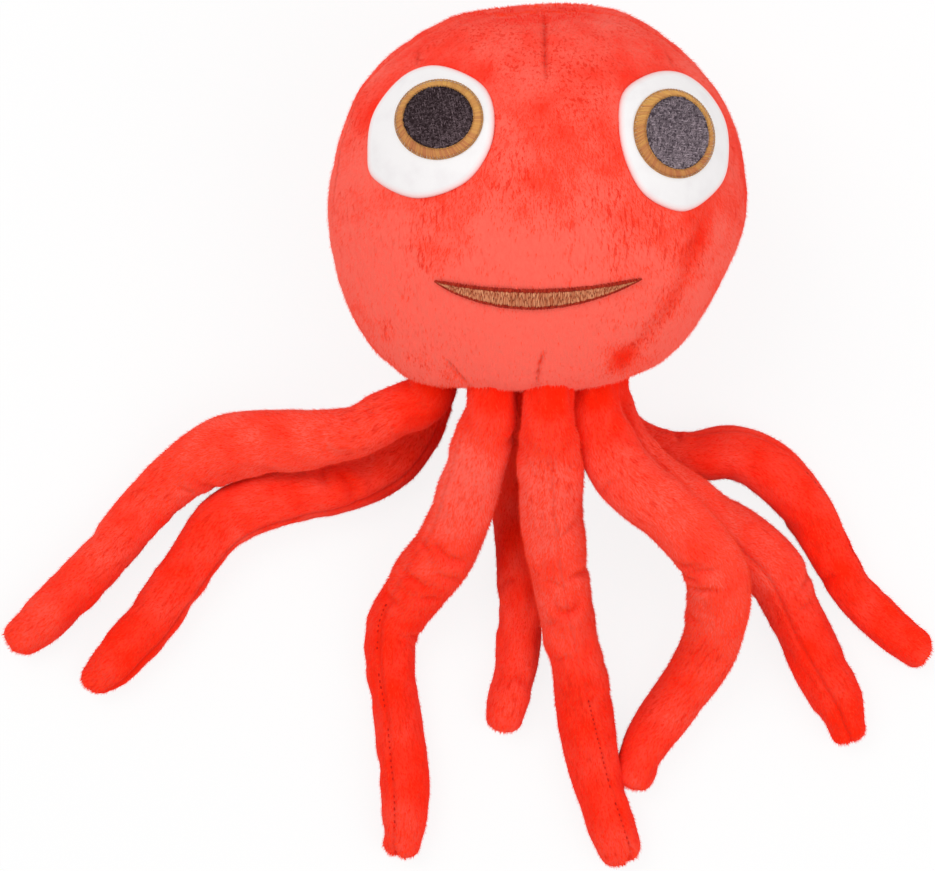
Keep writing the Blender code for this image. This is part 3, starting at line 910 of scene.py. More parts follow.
def makeEye(side):
    eye = eyes[side]
    dark = looks[side + "Pupil"]
    rim = eyeOutline(eye, eyePatch["sides"])
    patch = layOn(side + "_eye_patch_cloth", rim, looks["eye"], headTree, eyePatch)
    tree = treeOf(patch.data)
    pad = layOn(side + "_pupil_pad", ovalRing(eye["pupil"], pupilPad["sides"]), dark, tree, pupilPad)
    made = [
        (patch, side + "_eye_patch", "white_knit"),
        (pad, None, "dark_thread"),
        (makeIris(side + "_iris_stitches", eye, tree), side + "_iris", "brown_thread"),
        (makeIrisEdge(side + "_iris_edge", eye, tree), None, "brown_thread"),
        (makePupil(side + "_pupil_stitches", eye, tree, dark), side + "_pupil", "dark_thread"),
    ]
    for piece, node, slot in made:
        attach(piece, "head")
        if node:
            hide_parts(node)
    return rim


eyeRims = [makeEye(side) for side in ("left", "right")]
print("eyes: two patches, two irises, two pupils")


# Mouth

mouth = {
    "left": (-0.0392, -0.0322),
    "right": (0.0400, -0.0314),
    "sag": 0.0042,          # of the top edge, in the middle
    "tall": 0.0066,         # at its tallest, a little left of the middle
    "tallest": 0.46,
    "least": 0.0002,        # how tall it is at its corners
    "lift": 0.0012,
    "radius": 0.00022,
    "pitch": 0.00036,
    "slant": 0.0003,
    "split": 0.0026,        # a satin stitch longer than this is sewn as two
    "edgePitch": 0.00028,
    "edgeRadius": 0.00018,
    "edgeLift": 0.0014,
    "edge": (0.0008, 0.0021),       # how long the dark stitches across its edge are
}


def mouthEdges(t):
    # The top and bottom of the smile, t of the way from its left corner
    left, right = Vector(mouth["left"]), Vector(mouth["right"])
    top = left.lerp(right, t) - Vector((0, mouth["sag"] * 4 * t * (1 - t)))
    bent = t ** (math.log(0.5) / math.log(mouth["tallest"]))
    tall = mouth["tall"] * (4 * bent * (1 - bent)) ** 0.95
    return top, top - Vector((0, tall + mouth["least"]))


def mouthLine(count):
    # Once round the smile, from its left corner along the top and back along the bottom
    above = [mouthEdges(k / count)[0] for k in range(count + 1)]
    return above + [mouthEdges(k / count)[1] for k in range(count, -1, -1)]


def makeMouth():
    # Satin stitches from the bottom edge to the top, side by side, sunk in the pile
    bm = newStitching()
    count = int(abs(mouth["right"][0] - mouth["left"][0]) / mouth["pitch"])
    for k in range(3, count - 2):
        above, below = mouthEdges(k / count)
        slant = Vector((rng.uniform(-mouth["slant"], mouth["slant"]), 0))
        marks = [below - slant, above + slant]
        if (above - below).length > mouth["split"]:
            marks.insert(1, below.lerp(above, rng.uniform(0.25, 0.75)))
        for ends in zip(marks, marks[1:]):
            tone = rng.normal(0.5, 0.26)
            addStitch(bm, longStitch, headTree, ends, mouth["radius"], mouth["lift"], tone, 0.35)
    return newPiece("mouth_stitches", bm, looks["mouth"])


def makeMouthEdgeShadeAndPile():
    # Short dark red stitches across both edges, which leave them ragged and run out in thin tails: painted
    # shade of the pile that hangs over the edges, with dark pile fibres
    bm = newStitching()
    count = int(abs(mouth["right"][0] - mouth["left"][0]) / mouth["edgePitch"])
    for k in range(count + 1):
        t = k / count
        full = min(12 * t, 12 * (1 - t), 1)
        for place, way in zip(mouthEdges(t), (1, -1)):
            out = Vector((rng.uniform(-0.5, 0.5), way)) * rng.uniform(*mouth["edge"]) * (0.45 + 0.55 * full)
            ends = (place - out * 0.65, place + out * 0.35)
            tone = rng.uniform(0, 1)
            addStitch(bm, longStitch, headTree, ends, mouth["edgeRadius"], mouth["edgeLift"], tone, 0.3)
    return newPiece("mouth_edge", bm, looks["mouthEdge"])


mouthPiece = makeMouth()
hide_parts("mouth_embroidery")
for piece in (mouthPiece, makeMouthEdgeShadeAndPile()):
    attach(piece, "head")
mouthRim = mouthLine(30)
print("mouth:", len(mouthPiece.data.polygons), "faces")


# Arms

arm = {
    "radius": 0.012,
    "span": 0.200,
    "wobble": 0.035,
    "wobbleSize": 0.024,
    "blunt": 0.62,          # how far the tip is from round: 1 is round, 0 cut off square
    "flatSides": 12,        # the CAD sleeve's sides, which set how high an arm's middle lies
    "thickness": 0.0234,    # what one arm that lies on another lifts it by
    "sides": 22,
    "step": 0.0034,
    "slack": 0.0005,
    "most": 0.0014,
    "pressure": 40.0,
    "spare": 0.03,
    "tuck": 0.016,          # how far the sewn end goes on inside the head
    "tuckShare": -0.08,     # the same as a share of an arm's length
    # painted shade where the sewn end runs under the head
    "rootShade": 0.55,      # how much deeper the plush is at the sewn end
    "patchy": 0.62,         # how much of the head's patches and strokes the arms have
    "levels": 2,
    "pathSteps": 10,
    "lumpSize": 0.018,
    "lump": 0.0007,
    "clumpSize": 0.0040,
    "clump": 0.00026,
    "tuftSize": 0.0015,
    "tuft": 0.00013,
    "sewn": 0.004,          # this much of the arm is held by the sewn end, and the seam fades in after it
    "seamFade": 0.010,
    "seamDepth": 0.0007,
    "seamWidth": 0.0011,
    "seamDark": 0.12,       # an arm's own entry takes its place
    "seamLine": 0.0008,
    "seamBare": 0.0009,     # the pile is thinner within this of the seam
    "ridge": 0.00025,       # the cover stands up a little on both sides of the seam
    "ridgeAside": 0.0024,
    "ridgeWidth": 0.0012,
    "tipTuck": 0.0016,      # how far the seam draws the tip in
    "tipTuckWidth": 0.003,
    "tipLength": 0.006,
    "creaseWave": 0.0032,   # how far a crease wanders along the arm, and how far it ripples
    "creaseRipple": 0.0006,
    "creaseWidth": 0.0019,
    # the shade painted in a crease, and how wide its line is
    "creaseShade": 0.18,
    "creaseShadeWidth": 0.0010,
    "lipAside": 0.0046,     # the cover bulges on both sides of a crease
    "lipWidth": 0.0028,
    "gather": 0.0006,       # gathers round the sewn end, inside the head
    "gathers": 7,
    "gatherAt": -0.012,
    "gatherWidth": 0.006,
    "stitchPitch": 0.0025,
    "stitchRadius": 0.00028,
    "stitchLift": 0.0001,
}
# A route point is across and along in shares of the span, and how many arm thicknesses up it lies.
# A root share moves the sewn end by that share of the span. A girth share is the arm's radius along it.
# A tone-and-light share is how light the plush is along it: painted light where the arm is raised and lit,
# painted shade where it is shaded, and the pile's own tone.
# A seam turn is how far along the arm, and the degrees from its top towards its right-hand side, seen from
# the head. Its stitches show between the two stitch shares, all along where the arm has no such entry, and
# nowhere where the entry is empty. Its dark is how dark its line is.
# A crease is how far along, where round the arm, how far it reaches to each side, and its depth.
arms = {
    "right_lower": {
        "rootShares": (-0.040, 0.0, -0.01),
        "routeShares": (
            (-0.008, -0.090, 1.56), (0.033, -0.142, 1.35), (0.082, -0.186, 1.09), (0.140, -0.227, 0.79),
            (0.208, -0.276, 0.45), (0.265, -0.313, 0.24), (0.313, -0.361, 0.11), (0.341, -0.415, 0.06),
            (0.366, -0.467, 0.02), (0.404, -0.549, 0.0), (0.427, -0.590, 0.0), (0.448, -0.631, 0.0),
            (0.465, -0.681, 0.0),
        ),
        "girthShares": (
            (0.0, 0.84), (0.12, 0.92), (0.3, 0.98), (0.45, 1.06), (0.55, 1.15), (0.63, 1.06), (0.70, 0.96),
            (0.82, 1.03), (0.92, 0.93), (1.0, 0.66),
        ),
        "toneAndPaintedLightShares": ((0.0, 0.35), (0.6, 0.52), (0.8, 0.22), (1.0, 0.10)),
        "seamTurns": ((0.0, -40), (0.5, 8), (0.75, 16), (1.0, 4)),
        # its seam line is painted shade along the groove, with no stitches showing
        "seamDark": 0.34,
        "stitchShares": (),
        "creases": (
            (0.45, 60, 40, 0.0013), (0.49, 40, 28, 0.0010), (0.655, -60, 42, 0.0014),
            (0.685, -30, 26, 0.0010), (0.30, 0, 30, 0.0008),
        ),
    },
    "front_right": {
        "rootShares": (-0.026, 0.0, 0.005),
        "routeShares": (
            (-0.010, -0.045, 2.63), (0.026, -0.112, 2.46), (0.070, -0.159, 2.37), (0.115, -0.191, 2.24),
            (0.165, -0.237, 2.07), (0.206, -0.287, 1.77), (0.227, -0.342, 1.39), (0.229, -0.415, 0.83),
            (0.208, -0.496, 0.32), (0.150, -0.590, 0.02), (0.112, -0.643, 0.02), (0.083, -0.699, 0.0),
            (0.069, -0.740, 0.0),
        ),
        "girthShares": (
            (-0.08, 0.78), (0.0, 0.94), (0.08, 1.02), (0.17, 1.12), (0.3, 1.12), (0.42, 1.13), (0.52, 1.12),
            (0.64, 1.04), (0.76, 0.96), (0.88, 0.89), (1.0, 0.72),
        ),
        "toneAndPaintedLightShares": ((0.0, 0.30), (0.12, 0.38), (0.3, 0.52), (0.5, 0.54), (0.8, 0.34), (1.0, 0.30)),
        "seamTurns": ((0.0, -105), (1.0, -115)),
        "creases": (
            (0.36, 50, 34, 0.0014), (0.39, 30, 46, 0.0019), (0.42, 70, 34, 0.0013), (0.46, 50, 42, 0.0017),
            (0.55, 70, 40, 0.0010), (0.16, 40, 36, 0.0008),
        ),
    },
    "centre": {
        "rootShares": (0.004, 0.0, 0.005),
        "routeShares": (
            (0.010, -0.060, 2.88), (0.018, -0.199, 1.90), (0.034, -0.310, 1.30), (0.052, -0.402, 0.92),
            (0.072, -0.495, 0.53), (0.086, -0.579, 0.19), (0.100, -0.662, 0.02), (0.117, -0.743, 0.02),
            (0.139, -0.817, 0.0), (0.161, -0.876, 0.0),
        ),
        "girthShares": (
            (-0.08, 0.84), (0.0, 0.90), (0.08, 1.03), (0.2, 1.08), (0.35, 1.05), (0.5, 1.02), (0.64, 1.01),
            (0.76, 0.98), (0.88, 0.90), (0.95, 0.84), (1.0, 0.76),
        ),
        "toneAndPaintedLightShares": ((0.0, 0.34), (0.06, 0.44), (0.5, 0.48), (0.62, 0.30), (1.0, 0.24)),
        "seamTurns": ((0.0, 0), (0.45, 0), (0.62, -6), (0.8, -18), (1.0, -28)),
        "stitchShares": (0.60, 1.0),
        "creases": (
            (0.355, -45, 42, 0.0019), (0.385, 20, 26, 0.0010), (0.46, 0, 36, 0.0018), (0.475, 50, 24, 0.0011),
            (0.54, 30, 34, 0.0010), (0.24, -30, 30, 0.0007),
        ),
    },
    "front_left": {
        "rootShares": (0.024, 0.0, 0.005),
        "routeShares": (
            (0.017, -0.022, 2.84), (0.001, -0.081, 2.37), (-0.020, -0.150, 1.86), (-0.058, -0.252, 1.09),
            (-0.117, -0.341, 0.41), (-0.171, -0.428, 0.02), (-0.179, -0.510, 0.02), (-0.168, -0.591, 0.02),
            (-0.157, -0.673, 0.02), (-0.150, -0.755, 0.0), (-0.152, -0.836, 0.0), (-0.157, -0.874, 0.0),
        ),
        "girthShares": (
            (-0.08, 0.85), (0.0, 0.88), (0.08, 0.97), (0.2, 1.0), (0.33, 1.08), (0.45, 1.11), (0.55, 1.01),
            (0.64, 0.92), (0.74, 0.87), (0.88, 0.87), (0.95, 0.82), (1.0, 0.68),
        ),
        "toneAndPaintedLightShares": ((0.0, 0.38), (0.06, 0.58), (0.34, 0.5), (0.5, 0.30), (0.7, 0.2), (1.0, 0.25)),
        "seamTurns": ((0.0, 55), (0.4, 40), (0.6, 30), (1.0, 22)),
        "stitchShares": (0.52, 0.98),
        "creases": (
            (0.325, -10, 48, 0.0019), (0.35, 40, 26, 0.0010), (0.38, -40, 32, 0.0013), (0.43, 20, 44, 0.0018),
            (0.455, -30, 26, 0.0012), (0.49, 40, 36, 0.0015), (0.56, -70, 34, 0.0010),
        ),
    },
    "left_upper": {
        "rootShares": (-0.032, 0.008, 0.0),
        "routeShares": (
            (-0.117, -0.033, 1.69), (-0.173, -0.065, 1.43), (-0.285, -0.082, 0.96), (-0.376, -0.087, 0.62),
            (-0.458, -0.104, 0.36), (-0.527, -0.139, 0.19), (-0.607, -0.211, 0.02), (-0.683, -0.300, 0.0),
            (-0.754, -0.379, 0.0), (-0.833, -0.457, 0.0), (-0.871, -0.487, 0.0),
        ),
        "girthShares": (
            (0.0, 0.88), (0.12, 0.92), (0.22, 0.94), (0.33, 1.06), (0.43, 1.15), (0.50, 1.07), (0.58, 0.89),
            (0.64, 0.83), (0.74, 0.86), (0.86, 0.84), (0.94, 0.81), (1.0, 0.68),
        ),
        "toneAndPaintedLightShares": ((0.0, 0.2), (0.1, 0.34), (0.3, 0.54), (0.6, 0.44), (1.0, 0.28)),
        "seamTurns": ((0.0, -100), (1.0, -95)),
        "creases": ((0.10, 30, 34, 0.0010), (0.505, -75, 40, 0.0014), (0.535, -40, 26, 0.0010)),
    },
    "left_lower": {
        "rootShares": (-0.070, 0.0, 0.02),
        "routeShares": (
            (-0.087, -0.061, 0.49), (-0.115, -0.114, 0.24), (-0.173, -0.174, 0.06), (-0.263, -0.212, 0.06),
            (-0.341, -0.225, 0.06), (-0.420, -0.241, 0.06), (-0.490, -0.275, 0.02), (-0.547, -0.344, 0.02),
            (-0.592, -0.411, 0.02), (-0.652, -0.494, 0.0), (-0.722, -0.572, 0.0), (-0.757, -0.604, 0.0),
        ),
        "girthShares": (
            (0.0, 0.80), (0.12, 0.92), (0.25, 1.0), (0.38, 0.99), (0.50, 1.05), (0.58, 1.03), (0.66, 0.93),
            (0.75, 0.86), (0.85, 0.91), (0.92, 0.87), (0.96, 0.79), (1.0, 0.62),
        ),
        "toneAndPaintedLightShares": ((0.0, 0.05), (0.2, 0.25), (0.4, 0.40), (0.7, 0.30), (1.0, 0.14)),
        "seamTurns": ((0.0, -50), (1.0, -62)),
        "seamDark": 0.34,
        "stitchShares": (),
        "creases": ((0.335, -10, 40, 0.0016), (0.365, 30, 34, 0.0012)),
    },
    "back_middle": {
        "rootShares": (0.0, 0.0, 0.0),
        "routeShares": (
            (-0.013, -0.132, 0.06), (-0.017, -0.301, 0.02), (-0.007, -0.427, 0.02), (-0.015, -0.540, 0.0),
            (-0.028, -0.631, 0.0), (-0.045, -0.700, 0.0),
        ),
        "girthShares": (
            (0.0, 0.82), (0.2, 0.90), (0.5, 0.88), (0.8, 0.83), (0.88, 0.76), (0.95, 0.74), (1.0, 0.64),
        ),
        "toneAndPaintedLightShares": ((0.0, 0.10), (0.6, 0.35), (1.0, 0.42)),
        "seamTurns": ((0.0, -100), (1.0, -100)),
        "creases": ((0.90, 0, 60, 0.0014), (0.60, 40, 34, 0.0009)),
    },
    "right_upper": {
        "rootShares": (0.0, 0.0, 0.0),
        "routeShares": (
            (0.045, -0.091, 0.19), (0.113, -0.144, 0.06), (0.204, -0.155, 0.06), (0.275, -0.147, 0.06),
            (0.317, -0.155, 0.06), (0.362, -0.176, 0.06), (0.405, -0.216, 0.02), (0.446, -0.265, 0.02),
            (0.475, -0.316, 0.0), (0.507, -0.376, 0.0), (0.538, -0.431, 0.0), (0.609, -0.503, 0.0),
            (0.669, -0.548, 0.0),
        ),
        "girthShares": (
            (0.0, 0.82), (0.15, 0.92), (0.3, 0.95), (0.42, 1.04), (0.52, 1.05), (0.62, 0.94), (0.72, 0.81),
            (0.82, 0.76), (0.92, 0.76), (1.0, 0.68),
        ),
        "toneAndPaintedLightShares": ((0.0, 0.2), (0.4, 0.42), (0.7, 0.20), (1.0, 0.18)),
        "seamTurns": ((0.0, -60), (1.0, -66)),
        "stitchShares": (0.55, 0.80),
        "creases": ((0.30, -60, 34, 0.0008), (0.78, 50, 40, 0.0010)),
    },
}


def armPath(name):
    # The arm's middle line as points and the length up to each, which is 0 at the seam it is sewn on at.
    # Before that it runs on inside the head.
    facts = arms[name]
    girth = smoothed(facts["girthShares"])
    sewn = pivots[name + "_arm"] + Vector(facts["rootShares"]) * arm["span"]
    lie = arm["radius"] * math.cos(math.pi / arm["flatSides"])
    low = lie * float(girth(0))
    marks = [sewn - axis * arm["tuck"] - up * low, sewn - up * low]
    for x, y, level in facts["routeShares"]:
        pivot = pivots[name + "_arm"]
        marks.append(Vector((pivot.x + x * arm["span"], pivot.y + y * arm["span"], level * arm["thickness"])))
    marks = [marks[0] * 2 - marks[1], *marks, marks[-1] * 2 - marks[-2]]
    points = []
    for a, b, c, d in zip(marks, marks[1:], marks[2:], marks[3:]):
        for step in range(arm["pathSteps"]):
            points.append(curveAt(a, b, c, d, step / arm["pathSteps"]))
    points.append(marks[-2])
    points = np.array(points)
    points[:, 2] = np.maximum(points[:, 2], 0)
    gaps = np.linalg.norm(np.diff(points, axis=0), axis=1)
    lengths = np.concatenate([[0], np.cumsum(gaps)])
    lengths -= lengths[arm["pathSteps"]]
    points[:, 2] += lie * girth(np.clip(lengths / lengths[-1], 0, 1))
    return points, lengths, girth


def alongArm(path, length):
    # The place and direction at a length along the arm; it runs straight on past its ends
    points, lengths, _ = path
    inside = min(max(length, lengths[0]), lengths[-1])
    place = np.array([np.interp(inside, lengths, points[:, i]) for i in range(3)])
    reach = arm["radius"] / 2
    ends = [min(max(inside + d, lengths[0]), lengths[-1]) for d in (-reach, reach)]
    before, after = (np.array([np.interp(e, lengths, points[:, i]) for i in range(3)]) for e in ends)
    way = Vector(after - before).normalized()
    return Vector(place) + way * (length - inside), way


def armStations(path):
    # How far along each ring is, and its radius as a share of the arm's there: round root, blunt tip
    first, last = (arm["radius"] * float(path[2](share)) for share in (arm["tuckShare"], 1))
    start, end = path[1][0], path[1][-1]
    found = [(start - first * math.sin(a), math.cos(a)) for a in np.radians((80, 62, 44, 24))]
    count = int((end - start) / arm["step"])
    found += [(start + (end - start) * i / count, 1.0) for i in range(count + 1)]
    blunt = arm["blunt"]
    tip = np.radians((20, 38, 54, 68, 80))
    found += [(end + last * blunt * math.sin(a), math.cos(a) ** blunt) for a in tip]
    return found


def armCage(path, seed):
    bm = bmesh.new()
    laidLayer = bm.verts.layers.float_vector.new("laid")
    end = path[1][-1]
    loops = []
    stations = armStations(path)
    for k, (length, share) in enumerate(stations):
        place, way = alongArm(path, length)
        side = way.cross(up).normalized()
        over = side.cross(way)
        wide = arm["radius"] * float(path[2](min(max(length / end, arm["tuckShare"]), 1)))
        wobble = 1 + arm["wobble"] * noise.noise(Vector((length / arm["wobbleSize"], seed * 4.7, 0)))
        ends = k in (0, len(stations) - 1)
        made = bmesh.ops.create_circle(bm, cap_ends=ends, segments=arm["sides"], radius=1)
        for i, v in enumerate(made["verts"]):
            turn = 2 * math.pi * i / arm["sides"]
            ring = (wide * wobble - arm["slack"]) * share
            v.co = place + (over * math.cos(turn) + side * math.sin(turn)) * ring
            v[laidLayer] = Vector((wide * share * math.sin(turn), length, wide * share * math.cos(turn)))
        loops.append(openEdges(bm, made["verts"]))
    bridgeAll(bm, loops)
    return bm


def angleGap(a, b):
    return np.abs((a - b + math.pi) % (2 * math.pi) - math.pi)


def napOf(mesh, laid, path):
    # Which way the pile leans at each point: along the arm, towards its tip
    lengths = laid[:, 1]
    table = [alongArm(path, x)[1] for x in np.linspace(0, path[1][-1], 60)]
    i = np.clip((lengths / path[1][-1] * 59).round().astype(int), 0, 59)
    ways, normals = np.array(table)[i], normalsOf(mesh)
    return ways - normals * (ways * normals).sum(1, keepdims=True)


def turnOf(laid):
    # Where round the arm each point is, from its top
    return np.arctan2(laid[:, 0], laid[:, 2])


def seamTurn(facts, shares):
    return np.radians(np.interp(shares, *zip(*facts["seamTurns"])))


def creaseOn(crease, turn, length, end, seed):
    # One fold at a bend: how deep it is at each point, and how much shade is painted in it
    share, degrees, spreadDegrees, deep = crease
    waves = arm["creaseWave"] * np.sin(turn + seed + share * 20)
    away = length - (share * end + waves + arm["creaseRipple"] * np.sin(turn * 6 + seed))
    aside = np.degrees(angleGap(turn, math.radians(degrees)))
    reach = np.clip(1.3 - aside / spreadDegrees, 0, 1) ** 1.5
    fold = bell(away, arm["creaseWidth"]) - 0.5 * bell(np.abs(away) - arm["lipAside"], arm["lipWidth"])
    return deep * fold * reach, arm["creaseShade"] * reach * bell(away, arm["creaseShadeWidth"])


def makeArm(name, seed):
    facts = arms[name]
    path = armPath(name)
    end = path[1][-1]
    piece = newPiece(name + "_arm_cover", armCage(path, seed), looks["plush"])
    laid = laidOf(piece.data)
    nearSeam = angleGap(turnOf(laid), seamTurn(facts, laid[:, 1] / end)) < 0.6 * 2 * math.pi / arm["sides"]
    held = (laid[:, 1] < arm["sewn"]) | (nearSeam & (laid[:, 1] > 0))
    swell(piece, held, arm, arm["sides"])
    mesh = refine(piece, arm["levels"])
    laid = laidOf(mesh)
    turn, length = turnOf(laid), laid[:, 1]
    places, normals = coordsOf(mesh), normalsOf(mesh)
    wide = arm["radius"] * path[2](np.clip(length / end, arm["tuckShare"], 1))
    gap = angleGap(turn, seamTurn(facts, length / end)) * wide
    run = np.clip((length - arm["sewn"]) / arm["seamFade"], 0, 1)
    groove = bell(gap, arm["seamWidth"]) * run
    ridge = bell(gap - arm["ridgeAside"], arm["ridgeWidth"]) * run
    pull = 0.5 + 0.5 * np.cos(2 * math.pi * length / arm["stitchPitch"])
    depth = arm["seamDepth"] * groove * (0.7 + 0.3 * pull) - arm["ridge"] * ridge
    dark = facts.get("seamDark", arm["seamDark"]) * bell(gap, arm["seamLine"]) * run
    tip = np.clip((length - end) / arm["tipLength"], 0, 1)
    depth += arm["tipTuck"] * tip * bell(gap, arm["tipTuckWidth"])
    # each crease folds the cover in and has shade painted along its fold
    for crease in facts["creases"]:
        deeper, darker = creaseOn(crease, turn, length, end, seed)
        depth += deeper
        dark = np.maximum(dark, darker)
    gathers = bell(length - arm["gatherAt"], arm["gatherWidth"]) * np.cos(turn * arm["gathers"] + seed)
    depth += arm["gather"] * gathers
    setCoords(mesh, places - normals * depth[:, None])
    places = roughen(mesh, laid, arm, seed + 20)
    # the seam's dark line, with the creases' painted shade
    writeAttribute(mesh, "seam", dark)
    writeAttribute(mesh, "nap", napOf(mesh, laid, path))
    # the tint along the arm: painted light and shade, and the pile's own tone
    tint = smoothed(facts["toneAndPaintedLightShares"])(np.clip(length / end, 0, 1))
    # painted shade under the head's edge, near the sewn end
    tint -= arm["rootShade"] * np.clip(-0.1 - length / arm["tuck"], 0, 1)
    writeAttribute(mesh, "tint", tint)
    writeAttribute(mesh, "patchy", np.full(len(places), arm["patchy"]))
    bare = bell(gap, arm["seamBare"]) * run
    writeAttribute(mesh, "pile", np.where(places[:, 2] < tableSide, 0.0, 1 - 0.6 * bare))
    return piece, path


def joinAtSeam(piece, name, path):
    # The root stays with the head and the arm bends over its first stretch
    start, _ = alongArm(path, 0)
    end, _ = alongArm(path, 0.030)
    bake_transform(piece, "head", name + "_arm", start=start, end=end)


armPieces = {}
for seed, name in enumerate(arms):
    piece, path = makeArm(name, seed)
    armPieces[name] = (piece, path)
    joinAtSeam(piece, name, path)
    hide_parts(name + "_arm_sleeve", name + "_arm_filling")
    print("arm:", name, len(piece.data.polygons), "faces")


# Stitches along each arm's seam

def makeSeamStitches(name):
    piece, path = armPieces[name]
    facts = arms[name]
    tree = treeOf(piece.data)
    bm = newStitching()
    layer = bm.verts.layers.float["tone"]
    end = path[1][-1]
    pitch = arm["stitchPitch"]
    first, last = facts.get("stitchShares", (0.05, 0.98))
    for k in range(int(first * end / pitch), int(last * end / pitch)):
        if noise.noise(Vector((k / 4, end * 100, 0))) < -0.1:
            continue
        ends = []
        begin, finish = rng.uniform(0.22, 0.34), rng.uniform(0.58, 0.72)
        for length in ((k + begin) * pitch, (k + finish) * pitch):
            place, way = alongArm(path, length)
            side = way.cross(up).normalized()
            turn = float(seamTurn(facts, length / end))
            out = side.cross(way) * math.cos(turn) + side * math.sin(turn)
            ends.append(tree.ray_cast(place + out * 0.03, -out, 0.03)[0] or place + out * arm["radius"])
        known = len(bm.verts)
        bm.from_mesh(shortStitch)
        bm.verts.ensure_lookup_table()
        along = ends[1] - ends[0]
        aside = along.cross(out).normalized()
        tone = rng.uniform(0, 0.6)
        for v in bm.verts[known:]:
            over = out * (arm["stitchLift"] + v.co.z * arm["stitchRadius"])
            v.co = ends[0] + along * v.co.x + over + aside * (v.co.y * arm["stitchRadius"])
            v[layer] = tone
    return newPiece(name + "_arm_seam_stitches", bm, looks["red"])


shortStitch = stitchMesh(5, 2)
stitched = [name for name in arms if arms[name].get("stitchShares", True)]
for name in stitched:
    stitches = makeSeamStitches(name)
    joinAtSeam(stitches, name, armPieces[name][1])
print("seam stitches on", len(stitched), "arms")


# Pile: short fibres over all the plush, leaning with the nap

pile = {
    "length": 0.0016,
    "width": 0.00030,
    "headDensity": 1.5e6,   # fibres on a square metre
    "armDensity": 1.8e6,
    "lean": 1.5,            # how much further a fibre leans along the nap than it stands up
    "stray": 0.55,
    "size": (0.55, 1.15),   # the shortest and longest fibre, in shares of the length
    "mixed": 0.5,           # how far a fibre's red strays from that of the cloth, in steps of the pile's reds
    "markFrom": 0.50,       # where a stroke is stronger than this, its fibres have the strokes' red
    "fringe": 0.0008,       # how far pile grows in under the eyes' and the mouth's edges
}


def fibreMesh(look):
    # A flat blade that narrows to a point; z is its length and y faces outwards
    bm = bmesh.new()
    place = Matrix.Diagonal((pile["width"] / 2, 1, pile["length"], 1)) @ Matrix.Rotation(math.pi / 2, 4, "X")
    bmesh.ops.create_grid(bm, x_segments=1, y_segments=1, size=1, matrix=place)
    low = [v for v in bm.verts if v.co.z < 0]
    high = [v for v in bm.verts if v.co.z > 0]
    for v in low:
        v.co.z = 0
    bmesh.ops.pointmerge(bm, verts=high, merge_co=(0, 0, pile["length"]))
    return newPiece("fibre", bm, look)


def scatter(piece, name, density, seed):
    # Fibres on the piece, made real and kept as a mesh of their own
    tree = bpy.data.node_groups.new(name, "GeometryNodeTree")
    tree.interface.new_socket("Geometry", in_out="INPUT", socket_type="NodeSocketGeometry")
    tree.interface.new_socket("Geometry", in_out="OUTPUT", socket_type="NodeSocketGeometry")
    w = Wire(tree)
    skin = w.node("NodeGroupInput")

    points = w.node(
        "GeometryNodeDistributePointsOnFaces", {"distribute_method": "RANDOM"},
        {"Mesh": skin, "Density": w.attribute("pile", "Fac") * density, "Seed": seed},
    )
    normal = points.beside("Normal")
    nap = w.attribute("nap")
    stray = w.node(
        "FunctionNodeRandomValue", {"data_type": "FLOAT_VECTOR"},
        {0: (-1, -1, -1), 1: (1, 1, 1), "Seed": seed},
    )
    leaning = normal.vector("ADD", nap.vector("MULTIPLY", pile["lean"]))
    leaning = leaning.vector("ADD", stray.vector("MULTIPLY", pile["stray"]))
    turned = w.node("FunctionNodeAlignRotationToVector", {"axis": "Z"}, {"Vector": leaning})
    turned = w.node(
        "FunctionNodeAlignRotationToVector", {"axis": "Y", "pivot_axis": "Z"},
        {"Rotation": turned, "Vector": normal},
    )
    mixed, single = pile["mixed"], {"data_type": "FLOAT"}
    jitter = w.node("FunctionNodeRandomValue", single, {2: -mixed, 3: mixed, "Seed": seed + 1}, 1)
    # fibres follow the cloth's tint with its painted light and shade, and go deep on seams and in the
    # creases' painted shade
    tone = plushTone(w) * 2.0 - w.attribute("seam", "Fac") * 3.0 + jitter
    which = w.node("ShaderNodeClamp", None, {0: tone, 1: 0.0, 2: 2.0})
    marked = w.maths("GREATER_THAN", plushMarks(w), pile["markFrom"])
    which = w.maths("MAXIMUM", w.maths("ROUND", which), marked * 3.0)
    fibres = w.node("GeometryNodeGeometryToInstance")
    join = fibres.socket.node
    for one in reversed(fibreObjects):
        info = w.node("GeometryNodeObjectInfo", None, {"Object": one}, "Geometry")
        tree.links.new(info.socket, join.inputs[0])
    low, high = pile["size"]
    size = w.node("FunctionNodeRandomValue", single, {2: low, 3: high, "Seed": seed + 2}, 1)
    copies = w.node(
        "GeometryNodeInstanceOnPoints", None,
        {"Points": points, "Instance": fibres, "Pick Instance": True, "Instance Index": which,
         "Rotation": turned, "Scale": size},
    )
    real = w.node("GeometryNodeRealizeInstances", None, {"Geometry": copies})
    tree.links.new(real.socket, tree.nodes.new("NodeGroupOutput").inputs[0])
    grown = addObject(name, piece.data.copy())
    modifier = grown.modifiers.new("pile", "NODES")
    modifier.node_group = tree
    mesh = asSeen(grown)
    for extra in ("laid", "nap", "pile", "seam", "tint", "patchy", "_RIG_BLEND"):
        if extra in mesh.attributes:
            mesh.attributes.remove(mesh.attributes[extra])
    grown.visible_shadow = False        # light passes between real fibres, which are far thinner
    return grown


